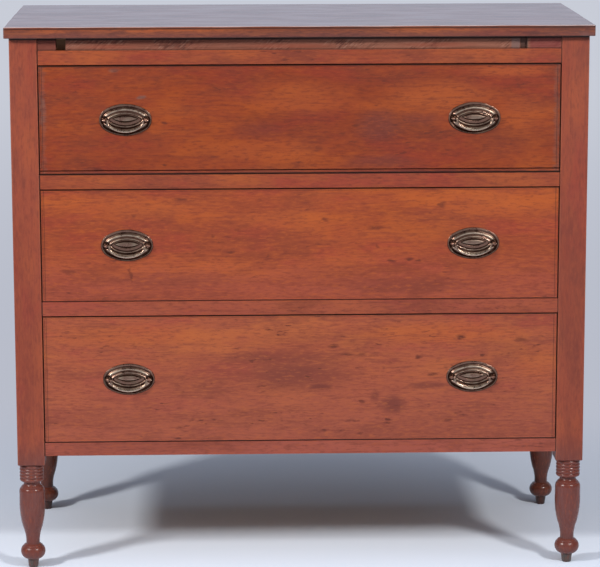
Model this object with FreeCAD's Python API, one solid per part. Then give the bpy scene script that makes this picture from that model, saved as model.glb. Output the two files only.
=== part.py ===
import FreeCAD, Part
import math
import os

# Butler's desk in millimetres: X along the front, Y from front to back, Z up, floor at Z = 0.
# Top and case
top_width = 1078.0
top_depth = 505.0
top_thickness = 20.5
top_edge_round = 2.0
overhang_front = 19.0
overhang_side = 9.0
overhang_back = 16.0
post_size = 50.0
panel_thickness = 18.0
panel_setback = 6.0
tongue_length = 10.0
tongue_thickness = 9.0
tenon_wall = 25.0
tenon_shoulder = 7.0

# Heights up the front, from the turned leg to the top
peg_height = 16.5
ball_height = 30.0
ankle_height = 9.0
vase_height = 104.5
cove_height = 9.0
reed_count = 5
reed_height = 6.3
collar_height = 2.5
rail_rise = 18.5
bottom_rail_height = 25.0
lower_opening = 241.5
middle_opening = 211.0
desk_opening = 202.5
divider_height = 26.5
top_rail_height = 26.0
frieze_height = 24.0

# Radii of the turned leg, and points on its curves as shares of the swell and of the height
peg_foot_radius = 8.7
peg_top_radius = 10.8
ball_radius = 23.0
ankle_radius = 12.8
vase_radius = 23.8
vase_throat = (0.17, 0.13)
vase_turn = (0.5, 0.26)
vase_swell = (0.92, 0.52)
vase_full = 0.85
shoulder_height = 13.0
shoulder_round = (0.27, 0.62)
cove_radius = 15.4
cove_sink = 2.0
cove_middle = 0.45
reed_radius = 22.6
reed_groove = 1.7
collar_radius = 23.4
ball_scribe = 0.85
shoulder_scribe = 0.72
scribe_depth = 1.2
scribe_width = 2.4

# Strip in the recess under the top
frieze_setback = 3.0
frieze_thickness = 20.0
notch_from_left = 34.5
notch_width = 18.0
right_block_width = 64.0
filler_width = 13.0
filler_setback = 9.0
patch_width = 16.0

# Back, runners, stops and blocks
back_board_thickness = 12.0
back_board_count = 3
back_board_gap = 0.8
rabbet_width = 15.0
rear_rail_thickness = 28.0
rear_top_rail_height = 40.0
runner_thickness = 24.0
runner_reach = 28.0
runner_tenon = 12.0
runner_shoulder = 6.0
guide_height = 18.0
stop_width = 40.0
stop_length = 18.0
stop_height = 4.5
stop_from_centre = 250.0
glue_block_size = 20.0
glue_block_length = 60.0
glue_block_spacing = 120.0

# Drawers
face_setback = 0.5
front_thickness = 19.0
side_thickness = 13.0
drawer_back_thickness = 12.0
drawer_bottom_thickness = 7.0
drawer_rear_clearance = 17.5
gap_top = 1.6
gap_bottom = 1.0
gap_side = 1.3
side_inset = 1.2
side_drop = 6.0
running_clearance = 0.3
bottom_rise = 11.0
groove_depth = 5.0
dovetail_lap = 7.0
dovetail_count = 5
dovetail_pin = 7.0
dovetail_slope = 1.0 / 6.0
bead_width = 3.5
bead_depth = 6.0
bead_projection = 1.3

# Fall front, its pins and its quadrant stays
sill_height = 7.4
sill_depth = 30.0
fall_clearance = 0.6
hollow_clearance = 0.3
mouth_clearance = 0.4
fall_bead_stop = 4.5
pin_radius = 2.5
pin_clearance = 0.05
pin_length = 26.0
arm_thickness = 3.0
arm_width = 10.0
arm_length = 34.0
arm_slot_clearance = 0.35
quadrant_radius = 105.0
quadrant_width = 10.0
quadrant_thickness = 3.0
quadrant_clearance = 0.35
quadrant_tang = 5.5
lug_height = 4.0
lug_angle = 3.0
lug_play_angle = 0.6
groove_play_angle = 1.0
keeper_thickness = 1.5
keeper_margin = 9.0
bed_tongue_start = 14.0

# Gallery of pigeonholes and small drawers
gallery_depth = 190.0
gallery_height = 160.0
gallery_board = 8.0
gallery_housing = 2.0
pigeonholes_per_drawer = 2
small_drawer_count = 4
small_drawer_opening = 52.0
small_drawer_depth = 180.0
small_front_thickness = 10.0
small_side_thickness = 6.0
small_bottom_thickness = 4.0
small_bottom_rise = 2.0
small_gap = 0.7
knob_radius = 7.5
knob_length = 15.0
knob_neck_radius = 4.0
knob_tenon_radius = 3.0
knob_base_flare = 1.5
knob_waist = 3.0
knob_head_flare = 0.6
knob_underside = 3.2
knob_dome = 6.3
valance_thickness = 6.0
valance_height = 26.0
valance_arch = 15.0
valance_foot_share = 0.1
valance_knee_across = 0.4
valance_knee_up = 0.72
valance_setback = 2.0

# Oval brass handles
handle_from_centre = 320.5
plate_width = 96.0
plate_height = 59.0
plate_end_radius = 22.0
plate_thickness = 1.0
rim_width = 3.6
rim_height = 2.4
ring_inset = 9.0
ring_width = 4.4
ring_height = 3.2
oval_inset = 16.6
oval_width = 1.8
oval_height = 2.2
lens_width = 45.0
lens_height = 11.5
lens_rise = 2.4
bevel = 0.9
bevel_share = 0.35
post_inset = 9.5
stud_radius = 3.3
stud_neck_radius = 2.4
stud_base_radius = 4.4
stud_standoff = 8.5
shank_radius = 2.2
shank_clearance = 0.2
shank_spare = 2.0
nut_size = 11.0
nut_thickness = 4.0
nut_recess_clearance = 0.5
bail_pin_radius = 1.4
bail_pin_clearance = 0.05
bail_pin_reach = 0.8
bail_wire_radius = 2.1
bail_side_gap = 0.35
bail_bend_radius = 2.4
bail_end_radius = 12.0
bail_drop = 20.5

# Distance within which an edge counts as lying in a plane
same_place = 0.01

# Places worked out from the sizes above
post_spacing = plate_width - 2 * post_inset
front = -top_depth / 2 + overhang_front
rear = top_depth / 2 - overhang_back
case_half = top_width / 2 - overhang_side
opening_half = case_half - post_size
panel_outside = case_half - panel_setback
panel_inside = panel_outside - panel_thickness
front_post_rear = front + post_size
rear_post_front = rear - post_size
back_board_front = rear - back_board_thickness
square_start = (peg_height + ball_height + ankle_height + vase_height + cove_height
                + reed_count * reed_height + collar_height)
case_bottom = square_start + rail_rise
lower_level = case_bottom + bottom_rail_height
lower_ceiling = lower_level + lower_opening
middle_level = lower_ceiling + divider_height
middle_ceiling = middle_level + middle_opening
desk_level = middle_ceiling + divider_height
desk_ceiling = desk_level + desk_opening
frieze_bottom = desk_ceiling + top_rail_height
top_underside = frieze_bottom + frieze_height
overall_height = top_underside + top_thickness

face = front + face_setback
front_inside = face + front_thickness
drawer_rear = back_board_front - drawer_rear_clearance
drawer_back_inside = drawer_rear - drawer_back_thickness
front_half = opening_half - gap_side
side_outside = front_half - side_inset
side_inside = side_outside - side_thickness
bead_back = face - bead_projection + bead_depth

lip = front_thickness / 2
axis_y = face + lip
sill_bottom = desk_level + gap_bottom
bed_bottom = sill_bottom + sill_height
axis_z = bed_bottom + lip
bed_top = axis_z + lip
fall_top = desk_ceiling - gap_top
desk_side_top = fall_top - gap_top
hollow_radius = math.hypot(lip, lip + bead_projection) + hollow_clearance
mouth = axis_y + mouth_clearance
groove_inner = quadrant_radius - quadrant_width / 2 - lug_height
keeper_back = mouth + keeper_thickness
stop_angle = math.degrees(math.acos((keeper_back - axis_y) / groove_inner)) - lug_play_angle
lug_front_angle = stop_angle - 90.0
tail_angle = lug_front_angle - lug_angle
quadrant_inside = side_inside + quadrant_clearance
quadrant_groove_depth = quadrant_thickness + 2 * quadrant_clearance

gallery_front = drawer_back_inside - gallery_depth
gallery_top = bed_top + gallery_height
gallery_inside = side_inside - gallery_board
shelf_bottom = bed_top + small_drawer_opening
shelf_top = shelf_bottom + gallery_board
gallery_ceiling = gallery_top - gallery_board


def vector(x, y, z):
    return FreeCAD.Vector(x, y, z)


def block(x0, x1, y0, y1, z0, z1):
    return Part.makeBox(x1 - x0, y1 - y0, z1 - z0, vector(x0, y0, z0))


def prism_x(points, x0, x1):
    corners = [vector(x0, y, z) for y, z in points]
    return Part.Face(Part.makePolygon(corners + corners[:1])).extrude(vector(x1 - x0, 0, 0))


def prism_y(points, y0, y1):
    corners = [vector(x, y0, z) for x, z in points]
    return Part.Face(Part.makePolygon(corners + corners[:1])).extrude(vector(0, y1 - y0, 0))


def rod_x(radius, x0, x1, y, z):
    return Part.makeCylinder(radius, x1 - x0, vector(x0, y, z), vector(1, 0, 0))


def rod_y(radius, y0, y1, x, z):
    return Part.makeCylinder(radius, y1 - y0, vector(x, y0, z), vector(0, 1, 0))


def mirrored(shape):
    return shape.mirror(vector(0, 0, 0), vector(1, 0, 0))


def both_sides(shape):
    return [shape, mirrored(shape)]


def joined(shape, *others):
    return shape.fuse(list(others)).removeSplitter()


def let_in(shape, *inserts):
    return shape.cut(list(inserts)).removeSplitter()


def save(name, *solids):
    shape = solids[0] if len(solids) == 1 else Part.makeCompound(list(solids))
    shape.exportStep("parts/" + name + ".step")


# Case rails: a board between two posts with a shouldered tenon at each end that stops inside the post
def rail(y0, y1, z0, z1):
    board = block(-opening_half, opening_half, y0, y1, z0, z1)
    tenon = block(opening_half, case_half - tenon_wall, y0 + tenon_shoulder, y1 - tenon_shoulder,
                  z0 + tenon_shoulder, z1 - tenon_shoulder)
    return joined(board, *both_sides(tenon))


# Runner with an L section: the drawer side rides on the ledge and the guide keeps it from the panel
def runner(level, guide):
    inner = opening_half - runner_reach
    outline = [(inner, level - runner_thickness), (panel_inside, level - runner_thickness),
               (panel_inside, level + guide), (opening_half, level + guide),
               (opening_half, level), (inner, level)]
    board = prism_y(outline, front_post_rear, rear_post_front)
    tenon_low = level - runner_thickness + runner_shoulder
    tenon_high = level - runner_shoulder
    front_tenon = block(inner + runner_shoulder, opening_half - runner_shoulder,
                        front_post_rear - runner_tenon, front_post_rear, tenon_low, tenon_high)
    rear_tenon = block(opening_half + runner_shoulder, panel_inside - runner_shoulder,
                       rear_post_front, rear_post_front + runner_tenon, tenon_low, tenon_high)
    return joined(board, front_tenon, rear_tenon)


# Kicker over the desk drawer: the same strip without a guide, above the drawer side
def kicker():
    inner = opening_half - runner_reach
    top = desk_ceiling + runner_thickness
    board = block(inner, panel_inside, front_post_rear, rear_post_front, desk_ceiling, top)
    front_tenon = block(inner + runner_shoulder, opening_half - runner_shoulder,
                        front_post_rear - runner_tenon, front_post_rear,
                        desk_ceiling + runner_shoulder, top - runner_shoulder)
    rear_tenon = block(opening_half + runner_shoulder, panel_inside - runner_shoulder,
                       rear_post_front, rear_post_front + runner_tenon,
                       desk_ceiling + runner_shoulder, top - runner_shoulder)
    return joined(board, front_tenon, rear_tenon)


def end_panel():
    board = block(panel_inside, panel_outside, front_post_rear, rear_post_front, case_bottom, top_underside)
    middle = (panel_inside + panel_outside) / 2
    tongue = block(middle - tongue_thickness / 2, middle + tongue_thickness / 2,
                   front_post_rear - tongue_length, rear_post_front + tongue_length,
                   case_bottom, top_underside)
    return joined(board, tongue)


# Turned leg: peg, ball, ankle, vase with a rounded shoulder, cove, reeds and collar, as one revolved outline,
# with a scribed line on the ball and one on the shoulder
def turned_leg(x, y):
    def at(radius, height):
        return vector(x + radius, y, height)

    ball_start = peg_height
    ankle_start = ball_start + ball_height
    vase_start = ankle_start + ankle_height
    cove_start = vase_start + vase_height
    reed_start = cove_start + cove_height
    collar_start = reed_start + reed_count * reed_height
    shoulder_start = cove_start - shoulder_height
    belly = shoulder_start - vase_start
    shoulder_radius = cove_radius + cove_sink
    groove_radius = reed_radius - reed_groove
    ball = Part.Arc(at(peg_top_radius, ball_start), at(ball_radius, ball_start + ball_height / 2),
                    at(ankle_radius, ankle_start)).toShape()
    edges = [
        Part.makeLine(at(0, 0), at(peg_foot_radius, 0)),
        Part.makeLine(at(peg_foot_radius, 0), at(peg_top_radius, ball_start)),
        ball,
        Part.makeLine(at(ankle_radius, ankle_start), at(ankle_radius, vase_start)),
    ]

    def on_vase(share):
        return at(ankle_radius + share[0] * (vase_radius - ankle_radius), vase_start + share[1] * belly)

    full = at(vase_radius, vase_start + vase_full * belly)
    shoulder_foot = at(vase_radius, shoulder_start)
    shoulder_middle = at(vase_radius - shoulder_round[0] * (vase_radius - shoulder_radius),
                         shoulder_start + shoulder_round[1] * shoulder_height)
    cove_low = at(shoulder_radius, cove_start)
    shoulder = Part.Arc(shoulder_foot, shoulder_middle, cove_low).toShape()
    edges.append(Part.Arc(at(ankle_radius, vase_start), on_vase(vase_throat), on_vase(vase_turn)).toShape())
    edges.append(Part.Arc(on_vase(vase_turn), on_vase(vase_swell), full).toShape())
    edges.append(Part.makeLine(full, shoulder_foot))
    edges.append(shoulder)
    edges.append(Part.Arc(cove_low, at(cove_radius, cove_start + cove_middle * cove_height),
                          at(groove_radius, reed_start)).toShape())
    for reed in range(reed_count):
        low = reed_start + reed * reed_height
        edges.append(Part.Arc(at(groove_radius, low), at(reed_radius, low + reed_height / 2),
                              at(groove_radius, low + reed_height)).toShape())
    edges.append(Part.makeLine(at(groove_radius, collar_start), at(collar_radius, collar_start)))
    edges.append(Part.makeLine(at(collar_radius, collar_start), at(collar_radius, square_start)))
    edges.append(Part.makeLine(at(collar_radius, square_start), at(0, square_start)))
    edges.append(Part.makeLine(at(0, square_start), at(0, 0)))
    outline = Part.Face(Part.Wire(edges))

    def scribed_line(arc, height):
        centre = arc.Curve.Center
        surface = centre.x - x + math.sqrt(arc.Curve.Radius ** 2 - (height - centre.z) ** 2)
        corners = [at(surface - scribe_depth, height),
                   at(surface + scribe_depth, height + scribe_width),
                   at(surface + scribe_depth, height - scribe_width)]
        return Part.Face(Part.makePolygon(corners + corners[:1]))

    lines = [scribed_line(ball, ball_start + ball_scribe * ball_height),
             scribed_line(shoulder, shoulder_start + shoulder_scribe * shoulder_height)]
    solid, *grooves = [face.revolve(vector(x, y, 0), vector(0, 0, 1), 360) for face in [outline] + lines]
    return solid.cut(grooves)


# Post: a square stile above its leg, whose collar is flush with the end of the case
def post(x0, y0):
    stile = block(x0, x0 + post_size, y0, y0 + post_size, square_start, top_underside)
    axis_x = x0 + collar_radius if x0 < 0 else x0 + post_size - collar_radius
    return joined(stile, turned_leg(axis_x, y0 + post_size / 2))


# Top board with its upper edges eased
def top_board():
    board = block(-top_width / 2, top_width / 2, -top_depth / 2, top_depth / 2, top_underside, overall_height)
    rim = [edge for edge in board.Edges if abs(edge.CenterOfMass.z - overall_height) < same_place]
    return board.makeFillet(top_edge_round, rim)


# Rough strips in the recess: left block, empty notch, long insert, patch, sunk filler, right block
def frieze_strips():
    strips = [(-opening_half, -opening_half + notch_from_left, frieze_setback)]
    insert_start = -opening_half + notch_from_left + notch_width
    filler_end = opening_half - right_block_width
    patch_end = filler_end - filler_width
    insert_end = patch_end - patch_width
    strips.append((insert_start, insert_end, frieze_setback))
    strips.append((insert_end, patch_end, frieze_setback))
    strips.append((patch_end, filler_end, filler_setback))
    strips.append((filler_end, opening_half, frieze_setback))
    return [block(x0, x1, front + setback, front + frieze_setback + frieze_thickness, frieze_bottom, top_underside)
            for x0, x1, setback in strips]


def back_boards():
    height = (top_underside - case_bottom + back_board_gap) / back_board_count - back_board_gap
    half = opening_half + rabbet_width
    boards = []
    for row in range(back_board_count):
        low = case_bottom + row * (height + back_board_gap)
        boards.append(block(-half, half, back_board_front, rear, low, low + height))
    return boards


def drawer_stops():
    blocks = []
    for level, stop_front in [(lower_level, front_inside), (middle_level, front_inside),
                              (desk_level, face + sill_depth)]:
        y0 = stop_front + running_clearance
        y1 = min(y0 + stop_length, front_post_rear)
        stop = block(stop_from_centre - stop_width / 2, stop_from_centre + stop_width / 2,
                     y0, y1, level, level + stop_height)
        blocks += both_sides(stop)
    return blocks


def glue_blocks():
    blocks = []
    for step in (-1, 0, 1):
        y0 = (front_post_rear + rear_post_front) / 2 + step * glue_block_spacing - glue_block_length / 2
        outline = [(panel_inside, top_underside), (panel_inside - glue_block_size, top_underside),
                   (panel_inside, top_underside - glue_block_size)]
        blocks += both_sides(prism_y(outline, y0, y0 + glue_block_length))
    return blocks


def build_case():
    rails = {
        "bottom_rail": rail(front, front_post_rear, case_bottom, lower_level),
        "lower_divider": rail(front, front_post_rear, lower_ceiling, middle_level),
        "upper_divider": rail(front, front_post_rear, middle_ceiling, desk_level),
        "top_rail": rail(front, front_post_rear, desk_ceiling, frieze_bottom),
    }
    backing = rail(front + frieze_setback + frieze_thickness, front_post_rear, frieze_bottom, top_underside)
    rear_rail_front = back_board_front - rear_rail_thickness
    rear_rails = [rail(rear_rail_front, back_board_front, case_bottom, lower_level),
                  rail(rear_rail_front, back_board_front, top_underside - rear_top_rail_height, top_underside)]
    runners = []
    for level in (lower_level, middle_level, desk_level):
        runners += both_sides(runner(level, guide_height))
    kickers = both_sides(kicker())
    panels = both_sides(end_panel())
    boards = back_boards()
    inserts = list(rails.values()) + [backing] + rear_rails + runners + kickers + panels + boards
    for depth_name, y0 in (("front", front), ("rear", rear_post_front)):
        for side_name, x0 in (("left", -case_half), ("right", opening_half)):
            save("post_" + depth_name + "_" + side_name, let_in(post(x0, y0), *inserts))
    for name, board in rails.items():
        save(name, let_in(board, *runners, *kickers))
    save("top_board", top_board())
    save("frieze_backing", backing)
    save("frieze_strips", *frieze_strips())
    save("rear_rails", *rear_rails)
    save("end_panel_right", panels[0])
    save("end_panel_left", panels[1])
    save("back_boards", *boards)
    save("drawer_runners", *runners)
    save("kickers", *kickers)
    save("drawer_stops", *drawer_stops())
    save("glue_blocks", *glue_blocks())


# Outline of a drawer side: tails over the height of the back, and tails at the front where it is lapped
def side_outline(y0, y1, z0, z1, back_low, front_run, back_run):
    def tails(root_y, tip_y, low):
        pitch = (z1 - low) / dovetail_count
        tip = (pitch - dovetail_pin) / 2
        root = tip - abs(tip_y - root_y) * dovetail_slope
        points = []
        for number in range(dovetail_count):
            middle = low + (number + 0.5) * pitch
            points += [(root_y, middle - root), (tip_y, middle - tip), (tip_y, middle + tip), (root_y, middle + root)]
        return points

    foot = [(y0, z0), (y1 + back_run, z0), (y1 + back_run, back_low), (y1, back_low)]
    front_tails = tails(y0, y0 - front_run, z0)[::-1] if front_run else []
    return foot + tails(y1, y1 + back_run, back_low) + [(y1, z1), (y0, z1)] + front_tails


# Cock bead strips with a round nose, mitred where two of them meet
def bead_strips(z0, z1, foot=None):
    nose = face - bead_projection
    round_start = nose + bead_width / 2

    def nosed(place, inner, outer, run):
        edges = [Part.makeLine(place(bead_back, inner), place(round_start, inner)),
                 Part.Arc(place(round_start, inner), place(nose, (inner + outer) / 2),
                          place(round_start, outer)).toShape(),
                 Part.makeLine(place(round_start, outer), place(bead_back, outer)),
                 Part.makeLine(place(bead_back, outer), place(bead_back, inner))]
        return Part.Face(Part.Wire(edges)).extrude(run)

    def level_strip(outer, inner):
        strip = nosed(lambda y, z: vector(-front_half, y, z), inner, outer, vector(2 * front_half, 0, 0))
        corner = prism_y([(front_half, outer), (front_half, inner), (front_half - bead_width, inner)], nose, bead_back)
        return strip.cut([corner, mirrored(corner)])

    low = z0 if foot is None else foot
    upright = nosed(lambda y, x: vector(x, y, low), front_half - bead_width, front_half, vector(0, 0, z1 - low))
    inner_edge = front_half - bead_width
    upper = prism_y([(front_half, z1), (inner_edge, z1), (inner_edge, z1 - bead_width)], nose, bead_back)
    lower = prism_y([(front_half, z0), (inner_edge, z0), (inner_edge, z0 + bead_width)], nose, bead_back)
    upright = upright.cut(upper) if foot is not None else upright.cut([upper, lower])
    strips = both_sides(upright) + [level_strip(z1, z1 - bead_width)]
    if foot is None:
        strips.append(level_strip(z0, z0 + bead_width))
    return strips


# Rebate that the bead strips are let into, all round a front or along three of its edges
def bead_seat(z0, z1, foot=None):
    low = z0 if foot is None else foot
    strips = [block(-front_half, front_half, face, bead_back, z1 - bead_width, z1)]
    strips += both_sides(block(front_half - bead_width, front_half, face, bead_back, low, z1))
    if foot is None:
        strips.append(block(-front_half, front_half, face, bead_back, z0, z0 + bead_width))
    return strips


# Outline of the plate, or of a band parallel to it: two end arcs and two flank arcs that meet smoothly
def oval_wire(inset, x, z):
    def at(across, up):
        return vector(x + across, face, z + up)

    half_width = plate_width / 2
    half_height = plate_height / 2
    end_centre = half_width - plate_end_radius
    flank_radius = ((end_centre ** 2 + half_height ** 2 - plate_end_radius ** 2)
                    / (2 * (half_height - plate_end_radius)))
    reach = (plate_end_radius - inset) / (flank_radius - plate_end_radius)
    join_x = end_centre + reach * end_centre
    join_z = reach * (flank_radius - half_height)
    return Part.Wire([
        Part.Arc(at(join_x, -join_z), at(half_width - inset, 0), at(join_x, join_z)).toShape(),
        Part.Arc(at(join_x, join_z), at(0, half_height - inset), at(-join_x, join_z)).toShape(),
        Part.Arc(at(-join_x, join_z), at(inset - half_width, 0), at(-join_x, -join_z)).toShape(),
        Part.Arc(at(-join_x, -join_z), at(0, inset - half_height), at(join_x, -join_z)).toShape(),
    ])


def oval(inset, height, x, z):
    return Part.Face(oval_wire(inset, x, z)).extrude(vector(0, -height, 0))


# Raised oval ridge with bevelled edges, the bevel kept to a share of a narrow ridge
def ridge(inset, width, height, x, z):
    ring = oval(inset, height, x, z).cut(oval(inset + width, height, x, z))
    crest = [edge for edge in ring.Edges if abs(edge.CenterOfMass.y - (face - height)) < same_place]
    return ring.makeChamfer(min(bevel, bevel_share * width), crest)


# Pointed medallion in the middle of the plate
def medallion(x, z):
    left = vector(x - lens_width / 2, face, z)
    right = vector(x + lens_width / 2, face, z)
    upper = Part.Arc(left, vector(x, face, z + lens_height / 2), right).toShape()
    lower = Part.Arc(right, vector(x, face, z - lens_height / 2), left).toShape()
    lens = Part.Face(Part.Wire([upper, lower])).extrude(vector(0, -lens_rise, 0))
    crest = [edge for edge in lens.Edges if abs(edge.CenterOfMass.y - (face - lens_rise)) < same_place]
    return lens.makeChamfer(bevel, crest)


def back_plate(x, z):
    plate = joined(oval(0, plate_thickness, x, z),
                   ridge(0, rim_width, rim_height, x, z),
                   ridge(ring_inset, ring_width, ring_height, x, z),
                   ridge(oval_inset, oval_width, oval_height, x, z),
                   medallion(x, z))
    shanks = [rod_y(shank_radius + shank_clearance, face - stud_standoff, face, x + side * post_spacing / 2, z)
              for side in (-1, 1)]
    bases = [rod_y(stud_base_radius, face - stud_standoff, face - plate_thickness, x + side * post_spacing / 2, z)
             for side in (-1, 1)]
    return plate.cut(shanks + bases)


# Bail post: a turned stud with a base, neck and ball, on a shank that passes through the front to a square nut
def bail_post(x, z, nut_face):
    def at(radius, y):
        return vector(x + radius, y, z)

    base = face - plate_thickness
    ball = face - stud_standoff
    tip = ball - stud_radius
    neck_y = ball + math.sqrt(stud_radius ** 2 - stud_neck_radius ** 2)
    shank_end = nut_face + nut_thickness + shank_spare
    edges = [Part.makeLine(at(0, shank_end), at(shank_radius, shank_end)),
             Part.makeLine(at(shank_radius, shank_end), at(shank_radius, base)),
             Part.makeLine(at(shank_radius, base), at(stud_base_radius, base)),
             Part.makeLine(at(stud_base_radius, base), at(stud_neck_radius, neck_y)),
             Part.Arc(at(stud_neck_radius, neck_y), at(stud_radius, ball), at(0, tip)).toShape(),
             Part.makeLine(at(0, tip), at(0, shank_end))]
    stud = Part.Face(Part.Wire(edges)).revolve(vector(x, 0, z), vector(0, 1, 0), 360)
    eye = rod_x(bail_pin_radius + bail_pin_clearance, x - 2 * stud_radius, x + 2 * stud_radius, ball, z)
    nut = block(x - nut_size / 2, x + nut_size / 2, nut_face, nut_face + nut_thickness,
                z - nut_size / 2, z + nut_size / 2)
    return [stud.cut(eye), nut.cut(rod_y(shank_radius, nut_face, nut_face + nut_thickness, x, z))]


# Bail of round wire: two pins in the post eyes, a tight bend at each, two end arcs and a long bow between them
def bail(x, z):
    y = face - stud_standoff

    def bend(radius, across, up, start, turn):
        angle = math.radians(start)
        place = vector(x + across + radius * math.cos(angle), y, z + up + radius * math.sin(angle))
        along = vector(-math.sin(angle), 0, math.cos(angle))
        disc = Part.Face(Part.Wire(Part.makeCircle(bail_wire_radius, place, along)))
        return disc.revolve(vector(x + across, y, z + up), vector(0, -1, 0), turn)

    post_side = post_spacing / 2 - stud_radius - bail_side_gap
    arm = post_side - bail_bend_radius
    drop = bail_drop - bail_bend_radius
    end_centre = arm - bail_end_radius
    bow_radius = ((end_centre ** 2 + drop ** 2 - bail_end_radius ** 2) / (2 * (drop - bail_end_radius)))
    bow_centre = bow_radius - drop
    join = math.degrees(math.atan2(bow_centre, end_centre))
    pin_end = post_spacing / 2 + stud_radius + bail_pin_reach
    right = [bend(bail_bend_radius, post_side, -bail_bend_radius, 90, 90),
             bend(bail_end_radius, end_centre, -bail_bend_radius, -join, join),
             rod_x(bail_pin_radius, x + post_side, x + pin_end, y, z)]
    left = [shape.mirror(vector(x, 0, 0), vector(1, 0, 0)) for shape in right]
    bow = bend(bow_radius, 0, bow_centre - bail_bend_radius, join - 180, 180 - 2 * join)
    return joined(bow, *right, *left)


def save_handles(name, z, nut_face):
    plates = []
    studs = []
    for side_name, x in (("left", -handle_from_centre), ("right", handle_from_centre)):
        plates.append(back_plate(x, z))
        for side in (-1, 1):
            studs += bail_post(x + side * post_spacing / 2, z, nut_face)
        save(name + "_bail_" + side_name, bail(x, z))
    save(name + "_back_plates", *plates)
    save(name + "_bail_posts", *studs)


# Holes for the shanks through a drawer front
def shank_holes(z, y1):
    return [rod_y(shank_radius + shank_clearance, face, y1, handle + side * post_spacing / 2, z)
            for handle in (-handle_from_centre, handle_from_centre) for side in (-1, 1)]


# Middle and lower drawers: lapped dovetails at the front, through dovetails at the back, bottom in grooves.
# Behind the beads the ends of the front are level with the sides, so that the tails show.
def build_drawer(name, level, ceiling):
    z0 = level + gap_bottom
    z1 = ceiling - gap_top
    handle_z = (level + ceiling) / 2
    side_low = level + running_clearance
    side_high = z1 - side_drop
    bottom_low = side_low + bottom_rise
    bottom_high = bottom_low + drawer_bottom_thickness
    outline = side_outline(front_inside, drawer_back_inside, side_low, side_high, bottom_high,
                           front_thickness - dovetail_lap, drawer_back_thickness)
    bottom = block(-side_inside - groove_depth, side_inside + groove_depth, front_inside - groove_depth,
                   drawer_rear, bottom_low, bottom_high)
    sides = both_sides(let_in(prism_x(outline, side_inside, side_outside), bottom))
    board = block(-front_half, front_half, face, front_inside, z0, z1)
    end_step = block(side_outside, front_half, bead_back, front_inside, z0, z1)
    board = let_in(board, *sides, bottom, *both_sides(end_step), *bead_seat(z0, z1),
                   *shank_holes(handle_z, front_inside))
    back = block(-side_outside, side_outside, drawer_back_inside, drawer_rear, bottom_high, side_high)
    save(name + "_front", board)
    save(name + "_sides", *sides)
    save(name + "_back", let_in(back, *sides))
    save(name + "_bottom", bottom)
    save(name + "_beads", *bead_strips(z0, z1))
    save_handles(name, handle_z, front_inside)


# Piece of a ring about the fall's axis, between two angles measured up from the back
def ring_sector(radius0, radius1, angle0, angle1, x0, x1):
    def at(radius, angle):
        turn = math.radians(angle)
        return vector(x0, axis_y + radius * math.cos(turn), axis_z + radius * math.sin(turn))

    middle = (angle0 + angle1) / 2
    edges = [Part.Arc(at(radius1, angle0), at(radius1, middle), at(radius1, angle1)).toShape(),
             Part.makeLine(at(radius1, angle1), at(radius0, angle1)),
             Part.Arc(at(radius0, angle1), at(radius0, middle), at(radius0, angle0)).toShape(),
             Part.makeLine(at(radius0, angle0), at(radius1, angle0))]
    return Part.Face(Part.Wire(edges)).extrude(vector(x1 - x0, 0, 0))


# Quadrant stay: a flat arc with a tang let into the fall and a stop lug at its tail
def quadrant_stay():
    x1 = quadrant_inside + quadrant_thickness
    inner = quadrant_radius - quadrant_width / 2
    outer = quadrant_radius + quadrant_width / 2
    arc = ring_sector(inner, outer, tail_angle, 90, quadrant_inside, x1)
    lug = ring_sector(inner - lug_height, inner, tail_angle, lug_front_angle, quadrant_inside, x1)
    tang = block(quadrant_inside, x1, axis_y - quadrant_tang, axis_y, axis_z + inner, axis_z + outer)
    return joined(arc, lug, tang)


# Keeper: a brass plate on the front edge of the drawer side, slotted for the quadrant and catching its lug
def quadrant_keeper():
    low = axis_z + quadrant_radius - quadrant_width / 2
    high = axis_z + quadrant_radius + quadrant_width / 2
    plate = block(side_inside, side_outside, mouth, keeper_back,
                  low - keeper_margin, high + keeper_margin)
    slot = block(side_inside, side_inside + quadrant_groove_depth, mouth, keeper_back,
                 low - quadrant_clearance, high + quadrant_clearance)
    return plate.cut(slot)


# Pivot arm: a brass bar let into the end of the bed, rounded about the pin that it carries
def pivot_arm():
    bar = block(side_inside - arm_thickness, side_inside, axis_y, axis_y + arm_length,
                axis_z - arm_width / 2, axis_z + arm_width / 2)
    eye = rod_x(arm_width / 2, side_inside - arm_thickness, side_inside, axis_y, axis_z)
    hole = rod_x(pin_radius + pin_clearance, side_inside - arm_thickness, side_inside, axis_y, axis_z)
    return let_in(joined(bar, eye), hole)


# Pin through the arm, driven in from the end of the fall
def pivot_pin():
    return rod_x(pin_radius, front_half - pin_length, front_half - fall_clearance, axis_y, axis_z)


# Fall board: full thickness between the drawer sides and along the turning edge, a lip over the side ends above
def fall_board(stays, pins, bead_foot, handle_z):
    board = block(-front_half, front_half, face, face + front_thickness, bed_bottom, fall_top)
    rabbet = block(side_inside - fall_clearance, front_half, axis_y, face + front_thickness, bed_top, fall_top)
    slot_reach = arm_width / 2 + arm_slot_clearance
    slot = block(side_inside - arm_thickness - arm_slot_clearance, side_inside + arm_slot_clearance,
                 axis_y - slot_reach, face + front_thickness, bed_bottom, axis_z + slot_reach)
    nut_side = nut_size / 2 + nut_recess_clearance
    recess_front = face + front_thickness - nut_thickness - shank_spare
    recesses = []
    for handle in (-handle_from_centre, handle_from_centre):
        for side in (-1, 1):
            x = handle + side * post_spacing / 2
            recesses.append(block(x - nut_side, x + nut_side, recess_front, face + front_thickness,
                                  handle_z - nut_side, handle_z + nut_side))
    cuts = both_sides(rabbet) + both_sides(slot) + stays + pins + recesses
    cuts += bead_seat(bed_bottom, fall_top, bead_foot) + shank_holes(handle_z, recess_front)
    return let_in(board, *cuts)


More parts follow.
